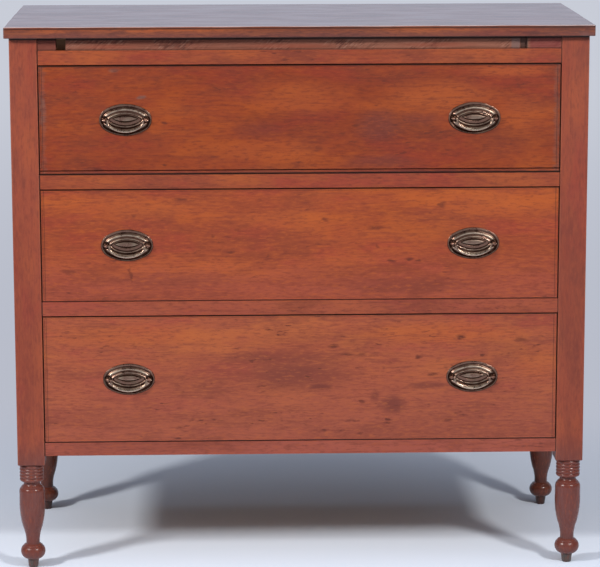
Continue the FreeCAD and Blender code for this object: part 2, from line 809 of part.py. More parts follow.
def build_fall():
    handle_z = (desk_level + desk_ceiling) / 2
    bead_foot = bed_bottom + fall_bead_stop
    stays = both_sides(quadrant_stay())
    pins = both_sides(pivot_pin())
    save("fall_board", fall_board(stays, pins, bead_foot, handle_z))
    save("fall_beads", *bead_strips(bed_bottom, fall_top, bead_foot))
    save("fall_quadrants", *stays)
    save("fall_pivot_pins", *pins)
    save_handles("fall", handle_z, face + front_thickness - nut_thickness - shank_spare)


# Writing bed and the sill under its front edge, hollowed for the turning edge of the fall
def writing_bed(hollow, arms):
    tongue_front = axis_y + quadrant_radius + bed_tongue_start
    bed = block(-side_inside, side_inside, axis_y, drawer_rear, bed_bottom, bed_top)
    tongue = block(side_inside, side_inside + groove_depth, tongue_front, drawer_rear, bed_bottom, bed_top)
    return let_in(joined(bed, *both_sides(tongue)), hollow, *arms)


def desk_sill(hollow):
    sill = block(-front_half, front_half, face, face + sill_depth, sill_bottom, bed_bottom)
    return let_in(sill, hollow)


# Side of the desk drawer: dovetailed at the back, with the quadrant's groove in its inner face
def desk_side(hollow, bed, keeper):
    outline = side_outline(mouth, drawer_back_inside, desk_level + running_clearance, desk_side_top, bed_top,
                           0, drawer_back_thickness)
    board = prism_x(outline, side_inside, side_outside)
    groove = ring_sector(groove_inner - quadrant_clearance,
                         quadrant_radius + quadrant_width / 2 + quadrant_clearance,
                         tail_angle - groove_play_angle, 90, side_inside, side_inside + quadrant_groove_depth)
    under = block(side_inside, side_outside, mouth, face + sill_depth, desk_level, bed_bottom)
    return let_in(board, groove, under, hollow, bed, keeper)


def upright(x, z0, z1):
    return block(x - gallery_board / 2, x + gallery_board / 2, gallery_front, drawer_back_inside,
                 z0, z1)


# Valance: a strip at the head of a pigeonhole with a two-arc pointed arch cut in its lower edge
def valance(x0, x1):
    low = gallery_ceiling - valance_height
    middle = (x0 + x1) / 2
    y0 = gallery_front + valance_setback
    foot = (x1 - x0) * valance_foot_share

    def at(x, z):
        return vector(x, y0, z)

    def half_arch(spring, crown):
        knee = at(spring + (crown - spring) * valance_knee_across, low + valance_arch * valance_knee_up)
        return Part.Arc(at(spring, low), knee, at(crown, low + valance_arch)).toShape()

    left_arch = half_arch(x0 + foot, middle)
    right_arch = half_arch(x1 - foot, middle)
    edges = [Part.makeLine(at(x0, gallery_ceiling), at(x0, low)), Part.makeLine(at(x0, low), at(x0 + foot, low)),
             left_arch, right_arch, Part.makeLine(at(x1 - foot, low), at(x1, low)),
             Part.makeLine(at(x1, low), at(x1, gallery_ceiling)),
             Part.makeLine(at(x1, gallery_ceiling), at(x0, gallery_ceiling))]
    outline = Part.Wire(Part.__sortEdges__(edges))
    return Part.Face(outline).extrude(vector(0, valance_thickness, 0))


# Evenly spaced clear spaces between the gallery ends: (left, right) of each
def bays(count):
    width = (2 * gallery_inside - (count - 1) * gallery_board) / count
    return [(-gallery_inside + number * (width + gallery_board),
             -gallery_inside + number * (width + gallery_board) + width) for number in range(count)]


def build_gallery():
    holes = bays(small_drawer_count * pigeonholes_per_drawer)
    drawers = bays(small_drawer_count)
    partitions = [upright(x1 + gallery_board / 2, shelf_top - gallery_housing, gallery_ceiling + gallery_housing)
                  for x0, x1 in holes[:-1]]
    dividers = [upright(x1 + gallery_board / 2, bed_top, shelf_bottom + gallery_housing)
                for x0, x1 in drawers[:-1]]
    shelf = block(-gallery_inside - gallery_housing, gallery_inside + gallery_housing, gallery_front,
                  drawer_back_inside, shelf_bottom, shelf_top)
    lid = block(-side_inside, side_inside, gallery_front, drawer_back_inside, gallery_ceiling, gallery_top)
    ends = both_sides(let_in(upright(gallery_inside + gallery_board / 2, bed_top, gallery_ceiling), shelf))
    save("gallery_shelves", let_in(shelf, *partitions, *dividers), let_in(lid, *partitions))
    save("gallery_uprights", *partitions, *dividers, *ends)
    save("gallery_valances", *[valance(x0, x1) for x0, x1 in holes])
    for number, (x0, x1) in enumerate(drawers):
        save("small_drawer_" + str(number + 1), *small_drawer(x0 + small_gap, x1 - small_gap))


# Turned wooden knob with a tenon through the small drawer's front
def knob(x, z):
    def at(radius, y):
        return vector(x + radius, y, z)

    tip = gallery_front - knob_length
    widest = tip + knob_dome
    crown = (knob_radius ** 2 + knob_dome ** 2) / (2 * knob_dome)
    half_turn = math.asin(knob_radius / crown) / 2
    tenon_end = gallery_front + small_front_thickness
    base = at(knob_neck_radius + knob_base_flare, gallery_front)
    neck = at(knob_neck_radius + knob_head_flare, widest + knob_underside)
    rim = at(knob_radius, widest)
    edges = [Part.makeLine(at(0, tenon_end), at(knob_tenon_radius, tenon_end)),
             Part.makeLine(at(knob_tenon_radius, tenon_end), at(knob_tenon_radius, gallery_front)),
             Part.makeLine(at(knob_tenon_radius, gallery_front), base),
             Part.Arc(base, at(knob_neck_radius, gallery_front - knob_waist), neck).toShape(),
             Part.makeLine(neck, rim),
             Part.Arc(rim, at(crown * math.sin(half_turn), tip + crown * (1 - math.cos(half_turn))),
                      at(0, tip)).toShape(),
             Part.makeLine(at(0, tip), at(0, tenon_end))]
    return Part.Face(Part.Wire(edges)).revolve(vector(x, 0, z), vector(0, 1, 0), 360)


def small_drawer(x0, x1):
    z0 = bed_top + small_gap / 2
    z1 = shelf_bottom - small_gap
    back_end = gallery_front + small_drawer_depth
    inside = gallery_front + small_front_thickness
    groove = small_side_thickness / 2
    bottom_low = z0 + small_bottom_rise
    bottom_high = bottom_low + small_bottom_thickness
    side_top = z1 - small_gap
    handle = knob((x0 + x1) / 2, (z0 + z1) / 2)
    bottom = block(x0 + groove, x1 - groove, inside - groove, back_end, bottom_low, bottom_high)
    front_board = let_in(block(x0, x1, gallery_front, inside, z0, z1), bottom, handle)
    left = let_in(block(x0, x0 + small_side_thickness, inside, back_end, z0, side_top), bottom)
    right = let_in(block(x1 - small_side_thickness, x1, inside, back_end, z0, side_top), bottom)
    back = block(x0 + small_side_thickness, x1 - small_side_thickness, back_end - small_side_thickness, back_end,
                 bottom_high, side_top)
    return front_board, left, right, back, bottom, handle


def build_desk_drawer():
    hollow = rod_x(hollow_radius, -opening_half, opening_half, axis_y, axis_z)
    arms = both_sides(pivot_arm())
    keepers = both_sides(quadrant_keeper())
    bed = writing_bed(hollow, arms)
    sides = both_sides(desk_side(hollow, bed, keepers[0]))
    back = block(-side_outside, side_outside, drawer_back_inside, drawer_rear, bed_top, desk_side_top)
    save("desk_bed", bed)
    save("desk_sill", desk_sill(hollow))
    save("desk_sides", *sides)
    save("desk_back", let_in(back, *sides))
    save("pivot_arms", *arms)
    save("quadrant_keepers", *keepers)


os.makedirs("parts", exist_ok=True)
build_case()
build_desk_drawer()
build_gallery()
build_fall()
build_drawer("middle", middle_level, middle_ceiling)
build_drawer("lower", lower_level, lower_ceiling)
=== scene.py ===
# Butler's desk in old cherry: three drawers, a falling front, turned legs and oval brass pulls
import math
import bpy
import numpy as np
from mathutils import Matrix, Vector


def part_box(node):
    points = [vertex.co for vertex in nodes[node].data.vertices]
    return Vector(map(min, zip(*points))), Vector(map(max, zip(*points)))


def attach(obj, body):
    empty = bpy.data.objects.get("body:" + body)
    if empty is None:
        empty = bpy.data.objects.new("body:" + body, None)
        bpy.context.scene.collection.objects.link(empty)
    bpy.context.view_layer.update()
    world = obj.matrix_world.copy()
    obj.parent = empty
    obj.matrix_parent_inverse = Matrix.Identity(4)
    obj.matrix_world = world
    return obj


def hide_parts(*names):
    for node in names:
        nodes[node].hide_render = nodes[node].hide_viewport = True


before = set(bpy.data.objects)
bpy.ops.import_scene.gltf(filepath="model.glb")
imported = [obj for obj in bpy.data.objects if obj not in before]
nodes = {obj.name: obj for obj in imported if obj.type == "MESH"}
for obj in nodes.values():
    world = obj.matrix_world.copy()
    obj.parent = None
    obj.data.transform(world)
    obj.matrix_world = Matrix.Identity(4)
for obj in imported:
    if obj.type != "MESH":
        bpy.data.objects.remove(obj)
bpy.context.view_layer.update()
mm = 0.001
reliefName = "crest"  # attribute with 0 in hollows, a half on plain parts and 1 on crests: grime and painted shade in hollows, wear and painted highlight on crests, and lowered on the pulls for painted shade round the posts and under the bail


# Camera and lamps
shot = {
    "eye": (-0.1478, -5.1496, 1.4543),  # metres
    "pitch": 10.461,  # degrees below level
    "yaw": 1.709,  # degrees towards the right end
    "roll": 0.117,
    "lens": 161.74,  # millimetres on 36 mm film
}


def axesAt(across, upward, backward, place):  # three directions and a place, as one 4 by 4 matrix
    turn = np.eye(4)
    turn[:3] = np.stack([across, upward, backward, place], 1)
    return Matrix(turn.tolist())


def placeCamera(look):
    pitch, yaw, roll = (math.radians(look[key]) for key in ("pitch", "yaw", "roll"))
    ahead = np.array([math.sin(yaw) * math.cos(pitch), math.cos(yaw) * math.cos(pitch), -math.sin(pitch)])
    level = np.array([math.cos(yaw), -math.sin(yaw), 0.0])
    down = np.cross(ahead, level)
    right = math.cos(roll) * level + math.sin(roll) * down
    lower = math.cos(roll) * down - math.sin(roll) * level
    camera = bpy.data.objects.new("camera", bpy.data.cameras.new("camera"))
    camera.data.lens = look["lens"]
    camera.matrix_world = axesAt(right, -lower, -ahead, look["eye"])
    bpy.context.scene.collection.objects.link(camera)
    bpy.context.scene.camera = camera


placeCamera(shot)
bpy.context.scene.view_settings.view_transform = "Standard"


lampSetting = {
    "left": {"at": (-2.41, -1.98, 2.1), "wide": 0.45, "power": 76.5},  # metres and watts
    "right": {"at": (2.0, -2.81, 2.35), "wide": 0.45, "power": 80.5},
    "aim": (0.0, -0.1, 0.45),
}


def placeLamps(setting):
    for name in ("left", "right"):
        lamp = setting[name]
        data = bpy.data.lights.new(name + "Lamp", "AREA")
        data.shape = "DISK"
        data.size = lamp["wide"]
        data.energy = lamp["power"]
        item = bpy.data.objects.new(name + "Lamp", data)
        away = np.array(lamp["at"]) - np.array(setting["aim"])
        away = away / np.linalg.norm(away)
        across = np.cross([0.0, 0.0, 1.0], away)
        across = across / np.linalg.norm(across)
        item.matrix_world = axesAt(across, np.cross(away, across), away, lamp["at"])
        bpy.context.scene.collection.objects.link(item)


placeLamps(lampSetting)


# Small helpers for colours and node trees
def tone(red, green, blue):  # a colour as a screen shows it, 0 to 255, in linear light
    share = np.array([red, green, blue]) / 255.0
    linear = np.where(share <= 0.04045, share / 12.92, ((share + 0.055) / 1.055) ** 2.4)
    return (*linear.tolist(), 1.0)


def add(tree, kind, values=None, links=None, **settings):
    made = tree.nodes.new("ShaderNode" + kind)
    for key, value in settings.items():
        setattr(made, key, value)
    for key, value in (values or {}).items():
        made.inputs[key].default_value = value
    for key, source in (links or {}).items():
        tree.links.new(source, made.inputs[key])
    return made


def plug(tree, socket, source):  # a link where the source is a socket, and a plain value otherwise
    if isinstance(source, bpy.types.NodeSocket):
        tree.links.new(source, socket)
    else:
        socket.default_value = source


def sums(tree, operation, first, second=0.0):
    made = add(tree, "Math", operation=operation)
    plug(tree, made.inputs[0], first)
    plug(tree, made.inputs[1], second)
    return made.outputs[0]


def blend(tree, share, first, second):
    made = add(tree, "Mix", data_type="RGBA")
    plug(tree, made.inputs[0], share)
    plug(tree, made.inputs[6], first)
    plug(tree, made.inputs[7], second)
    return made.outputs[2]


def fade(tree, value, low, high, start=0.0, end=1.0):  # smooth step from start to end
    made = add(tree, "MapRange", interpolation_type="SMOOTHSTEP")
    plug(tree, made.inputs["Value"], value)
    for key, number in (("From Min", low), ("From Max", high), ("To Min", start), ("To Max", end)):
        made.inputs[key].default_value = number
    return made.outputs[0]


def grainNoise(tree, place, stretch, shift=(0, 0, 0), detail=4.0, rough=0.55, part=0):
    mapped = add(tree, "Mapping", {"Scale": stretch, "Location": shift}, {"Vector": place})
    made = add(tree, "TexNoise", {"Scale": 1.0, "Detail": detail, "Roughness": rough},
               {"Vector": mapped.outputs[0]})
    return made.outputs[part]


def jittered(tree, value, noise, reach):  # moves a value up and down with a noise, by up to half of reach
    return sums(tree, "ADD", value, sums(tree, "MULTIPLY", sums(tree, "SUBTRACT", noise, 0.5), reach))


def startMaterial(name):
    material = bpy.data.materials.new(name)
    material.use_nodes = True
    tree = material.node_tree
    return material, tree, tree.nodes["Principled BSDF"], add(tree, "TexCoord").outputs["Object"]


# Colour, gloss and fine relief of a finish
def surface(tree, shader, colour, gloss, relief, strength, depth):
    tree.links.new(colour, shader.inputs["Base Color"])
    tree.links.new(gloss, shader.inputs["Roughness"])
    bump = add(tree, "Bump", {"Strength": strength, "Distance": depth}, {"Height": relief})
    tree.links.new(bump.outputs[0], shader.inputs["Normal"])


# Soft oval patches: full strength in the middle and nothing at the rim, the strongest one winning
def patches(tree, place, spots, firm=0.25):
    found = 0.0
    for x, z, wide, high, strength in spots:
        near = add(tree, "Mapping", {"Location": (x, 0, z), "Scale": (wide, 1e6, high)}, {"Vector": place},
                   vector_type="TEXTURE")
        away = add(tree, "VectorMath", links={0: near.outputs[0]}, operation="LENGTH")
        found = sums(tree, "MAXIMUM", fade(tree, away.outputs["Value"], firm, 1.0, strength, 0.0), found)
    return found


# Rubbed on the crests and grimy in the hollows, as far as bright and dark say: the dark in hollows is grime
# with painted shade, the bright on crests wear with a painted highlight
def wearAndShade(tree, colour, look, cloud, bright, dark):
    rise = add(tree, "Attribute", attribute_name=reliefName).outputs["Fac"]
    uneven = jittered(tree, rise, cloud, 0.5)
    colour = blend(tree, fade(tree, uneven, 0.6, 0.95, 0.0, bright), colour, tone(*look["rubbed"]))
    return blend(tree, fade(tree, uneven, 0.05, 0.42, dark, 0.0), colour, tone(*look["grimeAndShade"]))


# Floor, and the pale room that reflections see
floorLook = {
    "near": (231, 238, 248),
    "behind": (184, 188, 201),
    "far": (200, 204, 215),
    "sky": (192, 201, 219),
    "front": (92, 92, 96),  # the room before the desk, in reflections alone
    "frontEdge": (0.45, 0.75),  # where that room ends, as the depth of a direction
    "fadeBand": (0.55, 1.35),  # metres from the middle, over which the lit floor gives way to a plain tone
    "farAt": 9.0,
    "reach": 40.0,
    "fillTone": (221, 229, 247),
    "fill": 1.0,  # strength of the soft light from above the front
    "fillFrom": (0.0, -0.8, 0.6),
    "fillEdge": (0.12, 0.82),  # where it starts and is full, as the cosine of the angle to fillFrom
    "fillBand": (0.1, 0.7),  # little of it comes from directions lower than these
    "rear": 2.3,  # strength of the low light that reaches the back
    "rearEdge": (0.2, 0.8),
    "rearBand": (0.05, 0.16),
}


def seenDirectly(tree):  # camera, mirror and glass rays see the pale background
    path = add(tree, "LightPath").outputs
    share = sums(tree, "MAXIMUM", path["Is Camera Ray"], path["Is Glossy Ray"])
    return sums(tree, "MAXIMUM", share, path["Is Transmission Ray"])


def makeFloor(look):
    corners = look["reach"] * np.array([[-1, -1, 0], [1, -1, 0], [1, 1, 0], [-1, 1, 0]])
    mesh = bpy.data.meshes.new("floor")
    mesh.from_pydata(corners.tolist(), [], [[0, 1, 2, 3]])
    floor = bpy.data.objects.new("floor", mesh)
    bpy.context.scene.collection.objects.link(floor)
    material, tree, shader, place = startMaterial("paleFloor")
    shader.inputs["Base Color"].default_value = tone(*look["near"])
    shader.inputs["Roughness"].default_value = 0.9
    shader.inputs["Specular IOR Level"].default_value = 0.0
    away = add(tree, "VectorMath", links={0: place}, operation="LENGTH").outputs["Value"]
    distant = fade(tree, away, look["fadeBand"][1], look["farAt"])
    pale = blend(tree, distant, tone(*look["behind"]), tone(*look["far"]))
    glow = add(tree, "Emission", links={"Color": pale})
    share = sums(tree, "MULTIPLY", seenDirectly(tree), fade(tree, away, *look["fadeBand"]))
    mixed = add(tree, "MixShader", links={0: share, 1: shader.outputs[0], 2: glow.outputs[0]})
    tree.links.new(mixed.outputs[0], tree.nodes["Material Output"].inputs["Surface"])
    mesh.materials.append(material)


def makeRoom(look):
    world = bpy.data.worlds.new("room")
    bpy.context.scene.world = world
    world.use_nodes = True
    tree = world.node_tree
    fill = tree.nodes["Background"]
    fill.inputs["Color"].default_value = tone(*look["fillTone"])
    way = add(tree, "TexCoord").outputs["Generated"]
    parts = add(tree, "SeparateXYZ", links={0: way}).outputs
    towards = add(tree, "VectorMath", {1: look["fillFrom"]}, {0: way}, operation="DOT_PRODUCT")
    lit = fade(tree, towards.outputs["Value"], *look["fillEdge"], 0.05 * look["fill"], look["fill"])
    raised = sums(tree, "MULTIPLY", lit, fade(tree, parts["Z"], *look["fillBand"], 0.1, 1.0))
    low = fade(tree, parts["Z"], *look["rearBand"], look["rear"], 0.0)
    rear = sums(tree, "MULTIPLY", low, fade(tree, parts["Y"], *look["rearEdge"]))
    tree.links.new(sums(tree, "ADD", raised, rear), fill.inputs["Strength"])
    mirrored = add(tree, "LightPath").outputs["Is Glossy Ray"]
    dimmed = sums(tree, "MULTIPLY", mirrored, fade(tree, parts["Y"], *look["frontEdge"], 1.0, 0.0))
    seen = blend(tree, dimmed, tone(*look["sky"]), tone(*look["front"]))
    sky = add(tree, "Background", links={"Color": seen})
    mixed = add(tree, "MixShader", links={0: seenDirectly(tree), 1: fill.outputs[0], 2: sky.outputs[0]})
    tree.links.new(mixed.outputs[0], tree.nodes["World Output"].inputs["Surface"])


makeFloor(floorLook)
makeRoom(floorLook)
print("camera, lamps and floor placed")


# Cherry: hues, bands, clouds, streaks and flecks along the grain, with marks where the boards have them,
# painted shade in the gaps and a painted floor reflection low down
grainTurn = {"x": (0, 0, 0), "y": (0, 0, -math.pi / 2), "z": (0, math.pi / 2, 0)}
cherryBase = {
    "grain": "x",
    "shift": (0.0, 0.0, 0.0),  # slides the figure, so that no two boards match
    "body": (145, 65, 31),
    "warm": (164, 79, 29),
    "red": (144, 56, 36),
    "deep": (109, 45, 26),
    "rose": (141, 65, 45),
    "roseBand": None,  # heights in metres between which the rose tone grows downwards: a painted reflection of the pale floor on the lower part of a board
    "fleckTone": (72, 28, 20),
    "flecks": 0.6,
    "amber": [],  # marks: x, z, half width, half height and strength
    "plum": [],
    "grey": [],
    "dark": [],
    "gaps": [],  # painted shadows of the gaps: straight thin dark lines where boards meet
    "gapShadowTone": (14, 6, 5),
    "gapShadowBand": (-0.2318, -0.2306),  # depths over which they end, so that only front faces have them
    "relief": False,  # True on skins that carry their relief
    "grimeAndShade": (56, 30, 25),
    "rubbed": (164, 96, 68),
    "legTone": None,  # darker tone below the case
    "legBand": (0.19, 0.26),
    "varnishBand": (0.19, 0.21),
    "pegTone": (68, 70, 64),
    "pegBand": (0.014, 0.02),
    "crownTone": None,  # tone of the upper face of the top
    "crownBand": (1.0225, 1.0246),
    "roughness": 0.42,
    "specular": 0.28,
    "coat": 0.0,
    "coatRoughness": 0.14,
}
markTones = {"amber": (164, 80, 32), "plum": (99, 45, 36), "grey": (104, 74, 65), "dark": (72, 28, 20)}
cherryFigure = {  # stretch along and across the grain, shift, detail and roughness of each noise
    "hue": ((6, 19, 19), (4, 6, 3), 4.0, 0.6),
    "broad": ((2, 16, 16), (3, 1, 7), 3.0, 0.55),
    "cloud": ((7, 17, 17), (1, 5, 2), 5.0, 0.62),
    "streak": ((9, 230, 230), (2, 0, 4), 5.0, 0.62),
    "fleck": ((62, 300, 300), (6, 4, 9), 4.0, 0.68),
    "hair": ((60, 1400, 1400), (5, 3, 1), 3.0, 0.6),
    "speck": ((46, 190, 190), (8, 2, 6), 3.0, 0.5),
}
cherryLayers = {  # noise, where its tone starts and is full, strength and tone
    "hues": [("hue", 0.5, 0.64, 0.75, "warm"), ("hue", 0.48, 0.36, 0.75, "red")],
    "clouds": [("broad", 0.5, 0.66, 0.3, "deep"), ("cloud", 0.49, 0.68, 0.5, "deep")],
    "grain": [("streak", 0.5, 0.66, 0.4, "deep"), ("fleck", 0.51, 0.64, 0.5, "deep"),
              ("fleck", 0.48, 0.36, 0.4, "warm")],
    "hairs": [("hair", 0.5, 0.72, 0.3, "deep")],
}


def alongGrain(tree, place, grain, shift):
    turned = add(tree, "Mapping", {"Rotation": grainTurn[grain], "Location": shift}, {"Vector": place})
    return turned.outputs[0]


def wander(tree, place, stretch, reach, detail):  # pushes a pattern about, by up to half of reach each way
    noise = grainNoise(tree, place, stretch, detail=detail, part=1)
    centred = add(tree, "VectorMath", {1: (0.5, 0.5, 0.5)}, {0: noise}, operation="SUBTRACT")
    pushed = add(tree, "VectorMath", {1: reach}, {0: centred.outputs[0]}, operation="MULTIPLY")
    return add(tree, "VectorMath", links={0: place, 1: pushed.outputs[0]}, operation="ADD").outputs[0]


def banded(tree, colour, height, band, below, above, shade):  # a tone whose share changes across a band
    return blend(tree, fade(tree, height, *band, below, above), colour, tone(*shade))


def layered(tree, colour, noise, tones, layers):
    for key, start, full, strength, shade in layers:
        colour = blend(tree, fade(tree, noise[key], start, full, 0.0, strength), colour, tones[shade])
    return colour


def cherry(name, **changes):
    look = {**cherryBase, **changes}
    tones = {key: tone(*look[key]) for key in ("body", "warm", "red", "deep", "fleckTone")}
    material, tree, shader, place = startMaterial(name)
    turned = alongGrain(tree, place, look["grain"], look["shift"])
    swayed = wander(tree, turned, (2.2, 7, 7), (0.0, 0.03, 0.03), 2.0)
    noise = {key: grainNoise(tree, turned if key == "cloud" else swayed, *figure)
             for key, figure in cherryFigure.items()}
    cloud = noise["cloud"]
    parts = add(tree, "SeparateXYZ", links={0: place}).outputs
    height = parts["Z"]
    colour = layered(tree, tones["body"], noise, tones, cherryLayers["hues"])
    # painted reflection of the pale floor: a rose tone that grows towards the foot of the board
    if look["roseBand"]:
        uneven = jittered(tree, height, cloud, 0.12)
        colour = banded(tree, colour, uneven, look["roseBand"], 0.85, 0.0, look["rose"])
    if look["legTone"]:
        colour = banded(tree, colour, height, look["legBand"], 0.85, 0.0, look["legTone"])
        colour = banded(tree, colour, height, look["pegBand"], 0.95, 0.0, look["pegTone"])
    if look["crownTone"]:
        colour = banded(tree, colour, height, look["crownBand"], 0.0, 0.9, look["crownTone"])
    colour = layered(tree, colour, noise, tones, cherryLayers["clouds"])
    ragged = wander(tree, place, (30, 30, 70), (0.03, 0.0, 0.012), 3.0)
    for key, shade in markTones.items():
        if look[key]:
            colour = blend(tree, patches(tree, ragged, look[key]), colour, tone(*shade))
    colour = layered(tree, colour, noise, tones, cherryLayers["grain"])
    # painted shade of the gaps between boards, on front faces only
    if look["gaps"]:
        ahead = fade(tree, parts["Y"], *look["gapShadowBand"], 1.0, 0.0)
        gapShade = sums(tree, "MULTIPLY", patches(tree, place, look["gaps"], 0.5), ahead)
        colour = blend(tree, gapShade, colour, tone(*look["gapShadowTone"]))
    strewn = sums(tree, "MULTIPLY", fade(tree, noise["speck"], 0.62, 0.72), fade(tree, cloud, 0.42, 0.6))
    colour = blend(tree, sums(tree, "MULTIPLY", strewn, look["flecks"]), colour, tones["fleckTone"])
    colour = layered(tree, colour, noise, tones, cherryLayers["hairs"])
    if look["relief"]:
        colour = wearAndShade(tree, colour, look, cloud, 0.5, 0.8)
    gloss = fade(tree, cloud, 0.3, 0.7, look["roughness"] - 0.06, look["roughness"] + 0.08)
    gloss = sums(tree, "ADD", gloss, fade(tree, noise["streak"], 0.4, 0.7, 0.0, 0.06))
    if look["legTone"]:  # the turned legs keep more of their varnish
        gloss = sums(tree, "SUBTRACT", gloss, fade(tree, height, *look["varnishBand"], 0.18, 0.0))
    shader.inputs["Specular IOR Level"].default_value = look["specular"]
    shader.inputs["Coat Weight"].default_value = look["coat"]
    shader.inputs["Coat Roughness"].default_value = look["coatRoughness"]
    fine = sums(tree, "MULTIPLY", noise["hair"], 0.35)
    fine = sums(tree, "ADD", sums(tree, "MULTIPLY", noise["streak"], 0.5), fine)
    relief = sums(tree, "ADD", fine, sums(tree, "MULTIPLY", noise["broad"], 1.2))
    surface(tree, shader, colour, gloss, relief, 0.35, 0.0007)
    return material


# Painted shadow of the gaps: thin dark lines round a drawer front, and fainter ones where its end beads
# meet the board
gapShadowSetting = {
    "long": 9.0,  # metres, well past the case
    "endAt": 0.4792,  # from the middle of the case
    "beadAt": 0.4725,
    "topHalf": 0.0026,  # half widths
    "bottomHalf": 0.0024,
    "endHalf": 0.0022,
    "beadHalf": 0.001,
    "strength": 0.95,
    "bottomStrength": 0.95,
    "beadStrength": 0.45,
}


def frontGapShadows(top, bottom, **changes):
    line = {**gapShadowSetting, **changes}
    middle = (top + bottom) / 2
    lines = [(0.0, top, line["long"], line["topHalf"], line["strength"]),
             (0.0, bottom, line["long"], line["bottomHalf"], line["bottomStrength"])]
    for way in (-1, 1):
        lines.append((way * line["endAt"], middle, line["endHalf"], line["long"], line["strength"]))
        lines.append((way * line["beadAt"], middle, line["beadHalf"], line["long"], line["beadStrength"]))
    return lines


fallCherry = cherry(
    "fallCherry", shift=(0.3, 0.0, 0.2),
    body=(128, 52, 20), warm=(143, 64, 19), red=(124, 43, 24), deep=(93, 35, 18),
    amber=[(0.257, 0.895, 0.15, 0.04, 0.5), (0.385, 0.940, 0.11, 0.016, 0.5),
           (-0.056, 0.795, 0.12, 0.03, 0.35), (0.0, 0.890, 0.14, 0.04, 0.35),
           (0.40, 0.86, 0.07, 0.05, 0.25)],
    plum=[(0.143, 0.840, 0.06, 0.040, 0.75), (0.147, 0.774, 0.10, 0.018, 0.6),
          (0.22, 0.853, 0.06, 0.016, 0.4), (-0.074, 0.832, 0.06, 0.024, 0.35),
          # the long band is painted shade where the fall meets the sill
          (0.0, 0.7575, 9.0, 0.005, 0.5)],
    grey=[(-0.340, 0.944, 0.014, 0.006, 0.6), (-0.293, 0.894, 0.013, 0.005, 0.8),
          # the grey lines on the end beads are rubbed wear with a painted highlight
          (-0.471, 0.871, 0.008, 0.06, 0.6), (-0.472, 0.85, 0.007, 9.0, 0.3),
          (0.472, 0.85, 0.007, 9.0, 0.35)],
    dark=[(-0.250, 0.848, 0.009, 0.005, 0.7), (-0.171, 0.851, 0.010, 0.004, 0.5),
          (-0.247, 0.770, 0.008, 0.004, 0.8), (0.104, 0.840, 0.014, 0.006, 0.6),
          # the last mark is a painted shadow line along the foot of the fall's right half
          (-0.374, 0.762, 0.020, 0.004, 0.7), (0.30, 0.757, 0.20, 0.003, 0.6)],
    gaps=frontGapShadows(0.9530, 0.7526, bottomHalf=0.0028))
middleCherry = cherry(
    "middleCherry", shift=(1.1, 0.2, 0.5), roseBand=(0.53, 0.62),
    amber=[(-0.30, 0.69, 0.2, 0.03, 0.4), (0.0, 0.664, 0.16, 0.03, 0.4), (0.35, 0.69, 0.14, 0.03, 0.35),
           (0.10, 0.59, 0.08, 0.016, 0.4)],
    plum=[(-0.25, 0.555, 0.2, 0.02, 0.25), (0.2, 0.54, 0.2, 0.02, 0.25)],
    dark=[(-0.127, 0.605, 0.012, 0.004, 0.7), (-0.162, 0.636, 0.008, 0.004, 0.5),
          (-0.222, 0.705, 0.018, 0.005, 0.6), (-0.430, 0.570, 0.018, 0.006, 0.5),
          (-0.116, 0.647, 0.010, 0.004, 0.4), (0.044, 0.666, 0.012, 0.005, 0.6),
          (0.142, 0.650, 0.022, 0.005, 0.6), (0.264, 0.693, 0.010, 0.008, 0.7),
          (0.168, 0.588, 0.009, 0.005, 0.8), (0.203, 0.590, 0.011, 0.005, 0.8),
          (0.218, 0.588, 0.008, 0.005, 0.7), (-0.314, 0.565, 0.004, 0.022, 0.6),
          (0.144, 0.615, 0.007, 0.005, 0.6)],
    gaps=frontGapShadows(0.7248, 0.5152, bottomStrength=0.55))
lowerCherry = cherry(
    "lowerCherry", shift=(2.3, 0.4, 0.9), roseBand=(0.25, 0.46), flecks=0.75,
    body=(147, 72, 44), warm=(162, 85, 43), red=(143, 60, 45), deep=(110, 50, 35), rose=(142, 71, 51),
    amber=[(0.26, 0.45, 0.2, 0.03, 0.6), (-0.317, 0.45, 0.2, 0.03, 0.4), (0.44, 0.39, 0.06, 0.05, 0.3)],
    plum=[(0.173, 0.314, 0.036, 0.026, 0.8), (0.139, 0.332, 0.012, 0.012, 0.7),
          (0.0, 0.372, 0.15, 0.04, 0.6), (-0.03, 0.405, 0.12, 0.02, 0.5),
          (0.242, 0.350, 0.06, 0.010, 0.7), (0.036, 0.350, 0.036, 0.010, 0.9)],
    dark=[(0.299, 0.443, 0.009, 0.007, 0.9), (0.413, 0.437, 0.017, 0.007, 0.6),
          (0.062, 0.426, 0.013, 0.005, 0.8), (0.223, 0.404, 0.010, 0.006, 0.8),
          (0.086, 0.411, 0.022, 0.004, 0.6), (0.114, 0.410, 0.014, 0.004, 0.5),
          (0.163, 0.287, 0.012, 0.003, 0.9), (0.163, 0.281, 0.012, 0.003, 0.8),
          (0.040, 0.267, 0.009, 0.005, 0.8), (0.116, 0.321, 0.007, 0.005, 0.7),
          (0.276, 0.283, 0.014, 0.006, 0.5), (0.245, 0.372, 0.012, 0.006, 0.7),
          (0.355, 0.375, 0.014, 0.006, 0.5), (0.360, 0.352, 0.014, 0.005, 0.6)],
    gaps=frontGapShadows(0.4873, 0.2472))
